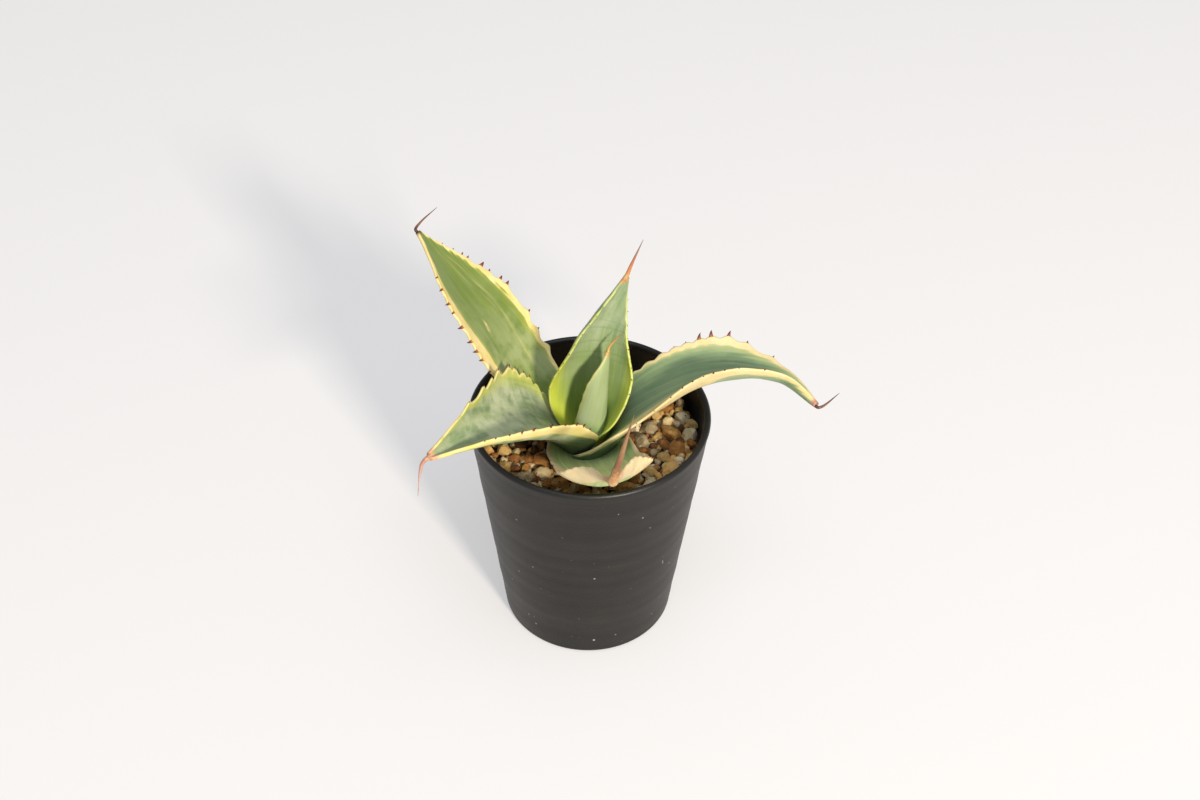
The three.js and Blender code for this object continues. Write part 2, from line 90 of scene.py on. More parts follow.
def closed_grid_faces(rows, columns):
    """Faces of a closed grid whose columns join up: quads between neighbouring rows, and a
    fan at each end about one more point, which follows the grid's own points."""
    row, column = np.mgrid[0:rows - 1, 0:columns]
    after = (column + 1) % columns
    quads = np.stack(
        [row * columns + column, row * columns + after,
         (row + 1) * columns + after, (row + 1) * columns + column], axis=-1).reshape(-1, 4)
    ring = np.arange(columns)
    following = (ring + 1) % columns
    far = (rows - 1) * columns
    end = np.full(columns, rows * columns)
    first = np.stack([following, ring, end], axis=-1)
    last = np.stack([far + ring, far + following, end + 1], axis=-1)
    return quads, np.concatenate([first, last])


def closed_piece(name, grids, attributes=()):
    """One smooth mesh object from closed grids shaped (how many, rows, columns, 3). Each
    grid's ends are closed about the middle of its first and its last row, and attributes
    are arrays of one number for each grid point."""
    count, rows, columns = grids.shape[:3]
    ends = grids[:, [0, -1]].mean(axis=2)
    points = np.concatenate([grids.reshape(count, -1, 3), ends], axis=1)
    quads, fans = closed_grid_faces(rows, columns)
    offsets = (np.arange(count) * points.shape[1])[:, None, None]
    faces = (quads + offsets).reshape(-1, 4).tolist() + (fans + offsets).reshape(-1, 3).tolist()
    carried = {}
    for label, values in dict(attributes).items():
        values = np.broadcast_to(values, grids.shape[:3]).astype(np.float32)
        at_ends = values[:, [0, -1]].mean(axis=2)
        carried[label] = np.concatenate([values.reshape(count, -1), at_ends], axis=1)
    piece = add_mesh(name, points, faces, carried)
    piece.data.shade_smooth()
    return piece


def turned(profile, segments):
    """A grid of a profile of (radius, height) carried round the vertical axis, so that the
    row is the place on the profile and the column the angle."""
    radius, height = np.asarray(profile, float).T[..., None]
    angle = np.linspace(0, 2 * np.pi, segments, endpoint=False)
    return np.stack(np.broadcast_arrays(
        radius * np.cos(angle), radius * np.sin(angle), height), axis=-1)[None]


def linear(colour):
    """An sRGB hex colour as linear red, green, blue and alpha."""
    channels = np.array([int(colour[i:i + 2], 16) for i in (1, 3, 5)]) / 255
    low = channels / 12.92
    high = ((channels + 0.055) / 1.055) ** 2.4
    return (*np.where(channels <= 0.04045, low, high).tolist(), 1.0)


def set_sockets(node, sockets):
    """Gives each named or numbered input of a node its own value, or links it to an output,
    where a node stands for its first output. A list fills the inputs in their order, which
    for a Map Range is the value, the range that it comes from and the one that it goes to."""
    if not isinstance(sockets, dict):
        sockets = dict(enumerate(sockets))
    for name, value in sockets.items():
        if isinstance(value, bpy.types.Node):
            value = value.outputs[0]
        if isinstance(value, bpy.types.NodeSocket):
            node.id_data.links.new(value, node.inputs[name])
        else:
            node.inputs[name].default_value = value


def add_node(tree, kind, sockets=(), stops=(), **settings):
    """A shader node of one kind, whose full name starts with ShaderNode, with its settings,
    its sockets and, for a colour ramp, its stops, which are places and hex colours."""
    node = tree.nodes.new("ShaderNode" + kind)
    for name, value in settings.items():
        setattr(node, name, value)
    set_sockets(node, sockets)
    if stops:
        elements = node.color_ramp.elements
        while len(elements) < len(stops):
            elements.new(0.5)
        for element, (place, colour) in zip(elements, stops):
            element.position = place
            element.color = linear(colour)
    return node


def new_material(name):
    """An empty node material, the shader that its nodes lead to, and add_node for it."""
    material = bpy.data.materials.new(name)
    material.use_nodes = True
    tree = material.node_tree
    return material, tree.nodes["Principled BSDF"], partial(add_node, tree)


def fit_piece(piece, material, node):
    """Gives a finished piece its material, lets it ride the plant's one body, and puts it
    in the place of a node of the solids and into a material slot."""
    piece.data.materials.clear()
    piece.data.materials.append(material)
    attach(piece, "root")
    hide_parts(node)


def wall_radius(height):
    """Outer radius of the pot: the foot's radius plus the taper's share of the height."""
    return POT_FOOT_RADIUS + (POT_RIM_RADIUS - POT_FOOT_RADIUS) * height / POT_HEIGHT


def pot_profile():
    """The pot's section from the middle of its underside, round the foot, up the wall, over
    the lip, down the inside and back to the middle of its floor. The foot is a quarter
    circle and the lip half an oval. The wall bows by a wave whose height comes and goes, and
    by a finer ripple, and it runs in under the lip."""
    turn = np.linspace(0, np.pi / 2, 9)
    foot = np.stack([wall_radius(0) - FOOT_ROUNDING + FOOT_ROUNDING * np.sin(turn),
                     FOOT_ROUNDING - FOOT_ROUNDING * np.cos(turn)], axis=-1)
    foot[:, 0] += np.linspace(0, wall_radius(FOOT_ROUNDING) - wall_radius(0), len(turn))
    up = np.linspace(FOOT_ROUNDING, LIP_UNDERSIDE, 120)[1:]
    bow = WAVE * np.sin(up / 3.4) * np.sin(up / 19 + 0.4) + RIPPLE * np.sin(up / 1.3 + 1.0)
    wall = np.stack([wall_radius(up) + bow - WAVE, up], axis=-1)
    turn = np.linspace(np.pi, 0, 17)
    middle = wall_radius(POT_HEIGHT) - LIP_WIDTH / 2
    lip = np.stack([middle - LIP_WIDTH / 2 * np.cos(turn),
                    POT_HEIGHT - LIP_ROUNDING + LIP_ROUNDING * np.sin(turn)], axis=-1)
    inner = [[middle - LIP_WIDTH / 2, LIP_INSIDE_END]]
    inner += [[wall_radius(z) - POT_WALL, z] for z in INSIDE_HEIGHTS]
    inner += [[wall_radius(POT_FLOOR) - POT_WALL - INSIDE_ROUNDING, POT_FLOOR],
              [POLE_RADIUS, POT_FLOOR]]
    return np.concatenate([[[POLE_RADIUS, 0]], foot, wall, lip, inner])


pot = closed_piece("nursery_pot", turned(pot_profile(), 160))
angle = 2 * np.pi * (np.arange(DRAIN_HOLES) + 0.5) / DRAIN_HOLES
middles = DRAIN_CIRCLE_RADIUS * np.stack([np.cos(angle), np.sin(angle), 0 * angle], axis=-1)
drills = closed_piece("drain_drills", turned(DRILL, 28) + middles[:, None, None])
cut = pot.modifiers.new("drain_holes", "BOOLEAN")
cut.operation = "DIFFERENCE"
cut.solver = "EXACT"
cut.object = drills
drilled = pot.evaluated_get(bpy.context.evaluated_depsgraph_get())
drilled = bpy.data.meshes.new_from_object(drilled)
pot.modifiers.clear()
pot.data = drilled
bpy.data.objects.remove(drills)

# Polypropylene, moulded: satin and almost black where it is clean, with a brown-grey film of
# dust that lies in slow bands 5 mm high, and specks of lime the size of a grain of sand.
polypropylene, shader, add = new_material("moulded_polypropylene")
place = add("TexCoord").outputs["Object"]
height = add("SeparateXYZ", [place]).outputs["Z"]
band_place = add("Mapping", {"Vector": place, "Scale": (14, 14, 190)})
bands = add("TexNoise", {"Vector": band_place, "Scale": 1.0, "Detail": 3.0})
film = add("TexNoise", {"Vector": place, "Scale": 60.0, "Detail": 6.0, "Roughness": 0.6})
film_and_bands = add("Math", [bands, film], operation="ADD")
dust = add("MapRange", [film_and_bands, 0.72, 1.28, 0.0, 1.0])
body_colour = add(
    "ValToRGB", [dust], stops=[(0.0, "#110f0d"), (0.5, "#161310"), (1.0, "#1e1a16")])
# A third of the cells, each 3 mm wide, holds a speck, and only where the film is thick.
cells = add("TexVoronoi", {"Vector": place, "Scale": 300.0, "Randomness": 1.0})
chance = add("SeparateColor", [cells.outputs["Color"]]).outputs["Red"]
speck_size = add("MapRange", [chance, 0.66, 1.0, 0.0, 0.17])
speck = add("Math", [cells.outputs["Distance"], speck_size], operation="LESS_THAN")
thick_film = add("MapRange", [film, 0.46, 0.58, 0.0, 0.6])
speck_share = add("Math", [speck, thick_film], operation="MULTIPLY")
dusted = add(
    "Mix", {0: speck_share, 6: body_colour, 7: linear("#b9b5ab")}, data_type="RGBA").outputs[2]
# The lip is rubbed clean over its top 2 mm, and the dust is whole from 4 mm down. It
# doesn't reach the inside, which starts at 1.2 mm into the wall.
lip_share = add(
    "MapRange", [height, (POT_HEIGHT - 4) * MM, (POT_HEIGHT - 2) * MM],
    interpolation_type="SMOOTHSTEP")
flat_place = add("Mapping", {"Vector": place, "Scale": (1, 1, 0)})
from_axis = add("VectorMath", [flat_place], operation="LENGTH").outputs["Value"]
inside_limit = add("MapRange", [
    height, 0.0, POT_HEIGHT * MM, (POT_FOOT_RADIUS - 1.2) * MM, (POT_RIM_RADIUS - 1.2) * MM])
inside = add("Math", [from_axis, inside_limit], operation="LESS_THAN")
clean_share = add("Math", [lip_share, inside], operation="MAXIMUM")
pot_colour = add(
    "Mix", {0: clean_share, 6: dusted, 7: linear("#171615")}, data_type="RGBA").outputs[2]
gloss = add("MapRange", [clean_share, 0.0, 1.0, 0.52, 0.42])
# The mould's grain is drawn 1 mm wide, coarser than it is, so that it shows.
grain = add("TexNoise", {"Vector": place, "Scale": 900.0, "Detail": 2.0})
relief = add("Math", [grain, bands], operation="ADD")
dents = add("Bump", {"Strength": 0.25, "Distance": 0.0003, "Height": relief})
set_sockets(shader, {
    "Base Color": pot_colour, "Roughness": gloss, "Normal": dents, "IOR": 1.49,
    "Specular IOR Level": 0.36, "Sheen Weight": 0.06, "Sheen Roughness": 0.35,
    "Sheen Tint": linear("#e8e2d8")})
fit_piece(pot, polypropylene, "pot")


# --------------------------------------------------------------------
# Stem
# A young agave's stem is a short, pale stump that the leaf bases hide. It is living tissue
# with a dry, faintly ringed skin where old leaves have come away.

STEM_BOTTOM = 62.0
STEM_SHOULDER = 88.0
STEM_TOP = 100.5
STEM_RADIUS = 11.5

turn = np.linspace(0, np.pi / 2, 9)[:-1]
crown = np.stack([STEM_RADIUS * np.cos(turn),
                  STEM_SHOULDER + (STEM_TOP - STEM_SHOULDER) * np.sin(turn)], axis=-1)
stem_profile = np.concatenate([
    [[1, STEM_BOTTOM], [STEM_RADIUS / 2, STEM_BOTTOM],
     [STEM_RADIUS, STEM_BOTTOM + STEM_RADIUS / 2]], crown, [[0.8, STEM_TOP]]])
stem = closed_piece("stem_stump", turned(stem_profile, 48))

# Corky skin: matt, with scars that run round the stem, 2 mm high.
stem_skin, shader, add = new_material("corky_stem_skin")
place = add("TexCoord").outputs["Object"]
scar_place = add("Mapping", {"Vector": place, "Scale": (60, 60, 500)})
scars = add("TexNoise", {"Vector": scar_place, "Scale": 1.0, "Detail": 4.0})
scar_colour = add(
    "ValToRGB", [scars], stops=[(0.3, "#6f7a4a"), (0.55, "#8f9c62"), (0.8, "#aab27c")])
scar_relief = add("Bump", {"Strength": 0.4, "Distance": 0.0004, "Height": scars})
set_sockets(shader, {"Base Color": scar_colour, "Normal": scar_relief, "Roughness": 0.7})
fit_piece(stem, stem_skin, "stem")


# --------------------------------------------------------------------
# Innermost leaf
# The youngest leaf is still a narrow, pale trough inside the others. An agave leaf grows in
# one piece with its margin teeth, which stand on small bumps, and ends in a horny spine.

BLADE_EDGE = 0.9
BLADE_ROWS = 261
BLADE_STRIPS = 56
SCALLOP = 1.0
SCALLOP_LENGTH = 2.4
SWELL = 0.16
IMPRINT_WIDTH = 0.4
IMPRINT_REACH = 0.92
TOOTH_ROOT = 0.8
SPINE_ROOT = 3.0
SPINE_POINT = 0.09
SPINE_RINGS = 48
SPINE_SIDES = 18


def through(values, t):
    """A Catmull-Rom curve through evenly spaced numbers or points, its ends reflected, at
    every t from 0 to 1."""
    values = np.asarray(values, float)
    padded = np.concatenate(
        [2 * values[:1] - values[1:2], values, 2 * values[-1:] - values[-2:-1]])
    place = np.clip(t, 0, 1) * (len(values) - 1)
    i = np.minimum(place.astype(int), len(values) - 2)
    f = place - i
    if values.ndim == 2:
        f = f[..., None]
    a, b, c, d = (padded[i + k] for k in range(4))
    return b + 0.5 * f * (c - a + f * (2 * a - 5 * b + 4 * c - d + f * (3 * (b - c) + d - a)))


def unit(vectors):
    """Vectors of length one."""
    return vectors / np.linalg.norm(vectors, axis=-1, keepdims=True)


def square_to(direction, vectors):
    """Vectors of length one, turned until they are square to a direction."""
    return unit(vectors - direction * (vectors * direction).sum(-1, keepdims=True))


def midrib_at(leaf, t):
    """Points of the midrib: its outward, sideways and upward parts turned by the azimuth."""
    out, side, up = np.moveaxis(through(leaf["midrib"], t), -1, 0)
    sine, cosine = math.sin(math.radians(leaf["azimuth"])), math.cos(math.radians(leaf["azimuth"]))
    return np.stack([out * cosine - side * sine, out * sine + side * cosine, up], axis=-1)


def midrib_frame(leaf, t):
    """The midrib's point, the direction along it, to its left and out of its upper face.
    Left starts level, at right angles to the azimuth, and is rolled about the midrib."""
    t = np.asarray(t, float)
    nudge = 1e-3
    along = midrib_at(leaf, np.minimum(t + nudge, 1)) - midrib_at(leaf, np.maximum(t - nudge, 0))
    along = unit(along)
    turn = math.radians(leaf["azimuth"])
    level = np.broadcast_to([-math.sin(turn), math.cos(turn), 0.0], along.shape)
    level = square_to(along, level)
    roll = np.radians(through(leaf["roll"], t))[..., None]
    left = level * np.cos(roll) + np.cross(along, level) * np.sin(roll)
    return midrib_at(leaf, t), along, left, np.cross(along, left)


def leaf_length(leaf):
    """Length of the midrib, summed over 40 short chords."""
    steps = midrib_at(leaf, np.linspace(0, 1, 41))
    return np.linalg.norm(np.diff(steps, axis=0), axis=-1).sum()


def scallop_at(leaf, t, u):
    """How far the margin stands out: a bump of a bell curve's shape at each tooth and a
    hollow between two teeth, which die away inwards with the sixth power of u, and over a
    quarter of the leaf at its base and a sixth at its tip."""
    bumps = []
    for teeth in leaf["teeth"]:
        distance = (t[..., None] - np.array(teeth)) * leaf_length(leaf) / SCALLOP_LENGTH
        bumps.append(np.exp(-distance ** 2).max(axis=-1))
    height = np.where(u < 0, *leaf.get("scallops", (SCALLOP, SCALLOP)))
    fade = np.minimum(1, (1 - t) / 0.17) * np.minimum(1, t / 0.25)
    return height * fade * (np.where(u < 0, *bumps) - 0.5) * np.abs(u) ** 6


def blade_at(leaf, t, u):
    """Points of the upper face at t along the leaf and u across it, from -1 at the right
    margin to 1 at the left, with the direction through the blade, its thickness and its
    half width. The section is a circular arc, as long as the blade is wide, that has turned
    by the fold at each margin."""
    origin, _, left, face = midrib_frame(leaf, t)
    reach, sign = np.abs(u), np.sign(u)
    half = through(leaf["half_width"], t)
    scallop = scallop_at(leaf, t, u)
    fold = np.radians(through(leaf["fold"], t))
    turn = fold * reach
    across = sign * half * np.sin(turn) / fold
    rise = half * (1 - np.cos(turn)) / fold
    down = left * (sign * np.sin(turn))[..., None] - face * np.cos(turn)[..., None]
    outwards = left * (sign * np.cos(turn))[..., None] + face * np.sin(turn)[..., None]
    upper = origin + left * across[..., None] + face * rise[..., None]
    middle = through(leaf["thickness"], t)
    edge = np.minimum(BLADE_EDGE, middle)
    thickness = edge + (middle - edge) * (1 - reach ** 2)
    return upper + outwards * scallop[..., None], down, thickness, half + scallop


def blade_piece(leaf, look, name):
    """A leaf's blade as a closed shell: the columns run over the upper face from the right
    margin to the left and back under it, drawn together towards the margins, where both
    faces close in a half round. Slow swellings, a sine along times a sine across, stand out
    of both faces. The points carry what the skin is drawn from: the distances in millimetres
    along, across and in from the edge of the cream margin, the lime band's width below zero,
    and the shares of underside, horny tip, drawn line, wax bloom and base. The base share
    is painted shade over the leaf's base, and on the upper face it is only a part of that."""
    half_turn = np.linspace(-1, 1, BLADE_STRIPS + 1)
    spread = 0.55 * half_turn + 0.45 * np.sin(half_turn * np.pi / 2)
    u_loop = np.concatenate([spread, spread[-2:0:-1]])
    t, u = np.meshgrid(np.linspace(0, 1, BLADE_ROWS), u_loop, indexing="ij")
    under = np.broadcast_to(
        np.repeat([0.0, 1.0], [BLADE_STRIPS + 1, BLADE_STRIPS - 1]), t.shape)
    upper, down, thickness, half = blade_at(leaf, t, u)
    from_edge = (np.abs(u) - 1 + 0.5 * BLADE_EDGE / half) * half
    closing = np.sqrt(1 - np.clip(from_edge / (0.5 * BLADE_EDGE), 0, 1) ** 2)
    depth = 0.5 * thickness * (1 + np.where(under > 0, closing, -closing))
    length = leaf_length(leaf)
    along, across = t * length, u * half
    phase = leaf["azimuth"]
    swell = SWELL * np.sin(along * 0.31 + 2.1 * phase) * np.sin(across * 0.4 + phase)
    swell = swell * np.minimum(1, 6 * (1 - t))

    line = np.zeros_like(t)
    for start, lean, bow, strength in look.get("imprints", ()):
        off = along - start - lean * across - bow * across ** 2
        line = line - strength * np.exp(-(off / IMPRINT_WIDTH) ** 2) * (np.abs(u) < IMPRINT_REACH)
    # Lines of a look: scrapes and imprints, and on some leaves painted highlights and painted shade
    # along a crease.
    for t_from, u_from, t_to, u_to, breadth, strength in look.get("lines", ()):
        share = np.clip((t - t_from) / (t_to - t_from), 0, 1)
        off = (u - u_from - (u_to - u_from) * share) * half
        past = np.maximum(t_from - t, t - t_to).clip(0) * length
        line = line + strength * np.exp(-(off / breadth) ** 2 - (past / 2) ** 2)
    cream_width, lime_width = (
        np.where(u < 0, *(through(widths, t) for widths in look[key]))
        for key in ("cream_widths", "lime_widths"))
    # Painted shade over the leaf's base: whole for the first 6 mm, gone at the shaded base length,
    # and on the upper face only by the upper share.
    base = np.clip((look["shaded_base_length"] - along) / (look["shaded_base_length"] - 6), 0, 1)
    attributes = {
        "along": along, "across": across, "cream": cream_width - (1 - np.abs(u)) * half,
        "halo": -lime_width, "under": under, "tip": np.exp(-(1 - t) * length / look["tip_length"]),
        "line": line * (1 - under), "bloom": through(look["bloom"], t),
        "base": base * np.where(under > 0, 0.95, look["shaded_base_upper"])}
    points = upper + down * (depth + swell)[..., None]
    return closed_piece(
        name, points[None, ::-1], {label: v[None, ::-1] for label, v in attributes.items()})


def teeth_piece(leaf, name):
    """The margin teeth: for each a cone whose axis starts inside the blade's edge, runs
    outwards, leaned down by an angle, and hooks towards the tip with the square of the
    distance. Its radius falls with the 0.75th power, and its section is a flat oval."""
    place = np.concatenate(leaf["teeth"])
    side = np.repeat([-1.0, 1.0], [len(teeth) for teeth in leaf["teeth"]])

    def middle(t, u):
        upper, down, thickness, _ = blade_at(leaf, t, u)
        return upper + down * 0.5 * thickness[..., None], down

    margin, down = middle(place, side)
    outward = unit(margin - middle(place, 0.9 * side)[0])
    lean = np.radians(np.where(side < 0, *leaf.get("teeth_lean", (0, 0))))[:, None]
    outward, down = (outward * np.cos(lean) + down * np.sin(lean),
                     down * np.cos(lean) - outward * np.sin(lean))
    forward = square_to(outward, middle(place + 0.01, side)[0] - margin)
    random = np.random.default_rng(abs(leaf["azimuth"]) + 7)
    size, hook, side = (v[:, None, None, None] for v in (
        np.concatenate(leaf["tooth_lengths"]), random.uniform(0.15, 0.6, len(place)), side))
    margin, outward, forward, down = (v[:, None, None] for v in (margin, outward, forward, down))
    reach = np.linspace(0, 1, 9)[None, :, None, None]
    angle = np.linspace(0, 2 * np.pi, 10, endpoint=False)[None, None, :, None]
    distance = -TOOTH_ROOT + (size + TOOTH_ROOT) * reach
    radius = (0.36 + 0.3 * size) * (1 - reach) ** 0.75 + 0.02
    points = (margin + outward * distance
              + forward * (hook * size * reach ** 2 + radius * np.cos(angle))
              + down * 0.62 * radius * np.sin(angle) * side)
    return closed_piece(name, points, {"reach": (reach + 0 * angle)[..., 0]})


def spine_piece(leaf, name):
    """The end spine: a round, slightly flattened section carried along a curve that starts
    inside the leaf's tip, leaves it in the leaf's own direction and goes on through the
    spine's points as cubic pieces. The radius falls with the 0.85th power of the distance,
    to SPINE_POINT at the end, and swells over the first 2 mm."""
    origin, along, left, face = (v[0] for v in midrib_frame(leaf, np.array([1.0])))
    start = origin - face * 0.5 * leaf["thickness"][-1]
    path = np.concatenate([
        [start - along * SPINE_ROOT, start, start + along * 1.3],
        start + np.array(leaf["spine"], float)])
    chords = np.linalg.norm(np.diff(path, axis=0), axis=-1) ** 0.5
    knots = np.concatenate([[0], np.cumsum(chords)])
    fine = np.linspace(0, knots[-1], 200)
    before = np.clip(np.searchsorted(knots, fine, side="right") - 1, 0, len(path) - 2)
    slopes = np.gradient(path, knots, axis=0)
    step = (knots[before + 1] - knots[before])[:, None]
    f = (fine - knots[before])[:, None] / step
    curve = ((2 * f ** 3 - 3 * f ** 2 + 1) * path[before]
             + (f ** 3 - 2 * f ** 2 + f) * step * slopes[before]
             + (3 * f ** 2 - 2 * f ** 3) * path[before + 1]
             + (f ** 3 - f ** 2) * step * slopes[before + 1])
    travelled = np.concatenate([[0], np.cumsum(np.linalg.norm(np.diff(curve, axis=0), axis=-1))])
    even = np.linspace(0, travelled[-1], SPINE_RINGS)
    centre = np.stack([np.interp(even, travelled, curve[:, k]) for k in range(3)], axis=-1)
    forward = unit(np.gradient(centre, axis=0))
    across = square_to(forward, left)
    through_spine = np.cross(forward, across)
    share = even / travelled[-1]
    radius = leaf["spine_radius"] * (1.0 - share ** 0.85) + SPINE_POINT
    radius = (radius * np.clip(0.55 + even / 4.0, 0, 1.08))[:, None, None]
    angle = np.linspace(0, 2 * np.pi, SPINE_SIDES, endpoint=False)[None, :, None]
    points = (centre[:, None] + across[:, None] * radius * np.cos(angle)
              + through_spine[:, None] * 0.85 * radius * np.sin(angle))
    return closed_piece(name, points[None], {"reach": share[None, :, None]})


def leaf_skin(name, look):
    """The skin of a living leaf, drawn from the numbers that the blade carries: green with
    faint streaks and nerves along it, a grey wax bloom in patches, imprints and scrapes
    drawn as lines, painted shade over its base, a lime band and a cream margin that fray
    along the streaks, and a horny tip. Some light lines are painted highlights, and some
    dark ones are painted shade along a crease."""
    skin, shader, add = new_material(name)
    along, across, cream, halo, under, tip, line, bloom, base = (
        add("Attribute", attribute_name=label).outputs["Fac"] for label in
        ("along", "across", "cream", "halo", "under", "tip", "line", "bloom", "base"))
    place = add("TexCoord").outputs["Object"]

    # Streaks are about 2.4 mm wide and 48 mm long, nerves 0.5 mm wide and 20 mm long.
    slow_along = add("Math", [along, 0.05], operation="MULTIPLY")
    quick_across = add("Math", [across, 2.0], operation="MULTIPLY")
    streak_place = add("CombineXYZ", [across, slow_along, under])
    nerve_place = add("CombineXYZ", [quick_across, slow_along])
    streaks = add(
        "TexNoise", {"Vector": streak_place, "Scale": 0.42, "Detail": 3.0, "Roughness": 0.55})
    nerves = add("TexNoise", {"Vector": nerve_place, "Scale": 1.0, "Detail": 2.0})
    patches = add("TexNoise", {"Vector": place, "Scale": 140.0, "Detail": 5.0, "Roughness": 0.62})
    clouds = add("TexNoise", {"Vector": place, "Scale": 45.0, "Detail": 2.0})

    # Wax lies in patches of 7 mm, in clouds of 22 mm.
    green = add(
        "ValToRGB", [streaks],
        stops=[(0.3, look["deep"]), (0.5, look["green"]), (0.72, look["light"])])
    cream_tone = add(
        "ValToRGB", [patches], stops=[(0.3, look["cream_deep"]), (0.62, look["cream"])])
    wax_cover = add("Math", [patches, clouds], operation="ADD")
    wax_patch = add("MapRange", [wax_cover, 0.8, 1.2], interpolation_type="SMOOTHSTEP")
    wax = add("Math", [wax_patch, bloom], operation="MULTIPLY")
    nerve = add("MapRange", [nerves, 0.54, 0.72, 0.0, look["nerves"]])
    scrapes_and_highlights = add("MapRange", [line])
    imprints_and_crease_shade = add("MapRange", [line, 0.0, -1.0])
    fray = add("MapRange", [streaks, 0.2, 0.8, -look["fray"], look["fray"]])
    frayed = add("Math", [cream, fray], operation="ADD")
    lime = add("MapRange", [frayed, halo, 0.5, 0.0, 0.8], interpolation_type="SMOOTHSTEP")
    margin = add("MapRange", [frayed, -0.3, 0.7], interpolation_type="SMOOTHSTEP")
    mottled_tip = add("Math", [tip, patches], operation="MULTIPLY")
    blush = add("MapRange", [mottled_tip, 0.1, 0.42], interpolation_type="SMOOTHSTEP")
    # Over the green go wax, nerves, light lines (scrapes and painted highlights), dark lines
    # (imprints and painted crease shade), painted shade over the base, the lime band, the cream
    # margin and the blush.
    colour = green
    for share, over in (
            (wax, linear(look["wax"])), (nerve, linear(look["deep"])),
            (scrapes_and_highlights, linear(look["cream"])), (imprints_and_crease_shade, linear(look["deep"])),
            (base, linear(look["base"])), (lime, linear(look["lime"])),
            (margin, cream_tone), (blush, linear(look["blush"]))):
        colour = add("Mix", {0: share, 6: colour, 7: over}, data_type="RGBA").outputs[2]

    dulling = add("MapRange", [wax, 0.0, 1.0, 0.4, 0.6])
    relief = add("Math", [nerves, patches], operation="ADD")
    dented = add("Math", [relief, line], operation="ADD")
    dents = add("Bump", {"Strength": 0.18, "Distance": 0.0004, "Height": dented})
    set_sockets(shader, {
        "Base Color": colour, "Roughness": dulling, "Normal": dents, "IOR": 1.42,
        "Subsurface Weight": 0.14, "Subsurface Radius": (0.8, 1.0, 0.3),
        "Subsurface Scale": 0.0022})
    return skin


def horn(name, stops, roughness):
    """Dry horn, which a spine and the teeth turn into: its colour runs from the root to
    the point, shifted by fibres of 1 mm, and it has a dull polish."""
    material, shader, add = new_material(name)
    reach = add("Attribute", attribute_name="reach").outputs["Fac"]
    place = add("TexCoord").outputs["Object"]
    fibres = add("TexNoise", {"Vector": place, "Scale": 900.0, "Detail": 3.0})
    shift = add("MapRange", [fibres, 0.3, 0.7, -0.07, 0.07])
    mottled = add("Math", [reach, shift], operation="ADD")
    colour = add("ValToRGB", [mottled], stops=stops)
    dents = add("Bump", {"Strength": 0.2, "Distance": 0.0002, "Height": fibres})
    set_sockets(
        shader, {"Base Color": colour, "Normal": dents, "Roughness": roughness, "IOR": 1.5})
    return material


def grow_leaf(name, leaf, look, tooth, spine):
    """One leaf: its blade in its skin, and its teeth and its end spine in their horn."""
    node = "leaf_" + name
    fit_piece(blade_piece(leaf, look, name + "_blade"), leaf_skin(name + "_leaf_skin", look),
              node)
    fit_piece(teeth_piece(leaf, name + "_teeth"), tooth, node)
    fit_piece(spine_piece(leaf, name + "_spine"), spine, node + "_spine")


# Every pair is the right margin's and then the left's. In a look, colours come first, then
# lengths and widths in millimetres and shares, by even steps from the base to the tip.
# An imprint is where it starts along the leaf, its lean, its bow and its strength. A line
# runs from a t and u to another, with a breadth and a strength, dark where that is negative.
# A look's base colour is painted shade: it covers the leaf's base for the shaded base length,
# nearly whole on the underside and by the shaded base upper share on the upper face.
inner_leaf = {
    "azimuth": -52,
    "midrib": [[3, -1.5, 98], [3.5, 0, 110], [3.5, 2, 122], [3, 4.5, 134], [2, 7, 145.5]],
    "half_width": [10, 8.5, 7.5, 6.5, 1.1],
    "fold": [115, 76, 64, 52, 24],
    "roll": [-19, 4, 45],
    "thickness": [3, 3, 2.6, 2.2, 1.6],
    "teeth": ([0.42, 0.56, 0.68, 0.8], [0.4, 0.54, 0.67, 0.79]),
    "tooth_lengths": ([0.3, 0.4, 0.4, 0.3], [0.3, 0.4, 0.4, 0.3]),
    "scallops": (0.3, 0.3),
    "spine": [[1.5, 0.6, 3.6], [5.6, 1.2, 8.6]],
    "spine_radius": 0.85,
}
inner_look = {
    "green": "#91a170", "deep": "#849563", "light": "#9ca97d", "wax": "#9ba589",
    "lime": "#a6ad6a", "cream": "#c5c08e", "cream_deep": "#b5b579", "base": "#8fa866",
    "blush": "#b08a52", "shaded_base_length": 16, "shaded_base_upper": 0.6, "tip_length": 2.5, "nerves": 0.15,
    "fray": 0.3, "bloom": [0.5, 0.5, 0.5, 0.4, 0.3],
    "cream_widths": ([0.4, 0.5, 0.5, 0.5, 0.4], [0.4, 0.5, 0.5, 0.5, 0.4]),
    "lime_widths": ([2, 2, 1.5, 1, 0.6], [2, 2, 1.5, 1, 0.6]),
}
tooth_horn = horn(
    "tooth_horn", [(0.1, "#9a6238"), (0.35, "#7c3a26"), (0.6, "#562419"), (0.95, "#2c1612")], 0.38)
young_tooth = horn("young_tooth_horn", [(0.1, "#c5bd7c"), (0.6, "#b5824a"), (1.0, "#8a5230")], 0.4)
young_spine = horn(
    "young_spine_horn",
    [(0.12, "#b9bd84"), (0.3, "#c09a5c"), (0.7, "#c1814c"), (1.0, "#8d5a3c")], 0.36)
grow_leaf("inner", inner_leaf, inner_look, young_tooth, young_spine)


# --------------------------------------------------------------------
# Centre leaf
# The upright leaf round the innermost one. It has only just opened, so its lower half still
# wraps the bud, its flaps are lime green, and it bears the prints of leaves it lay against.

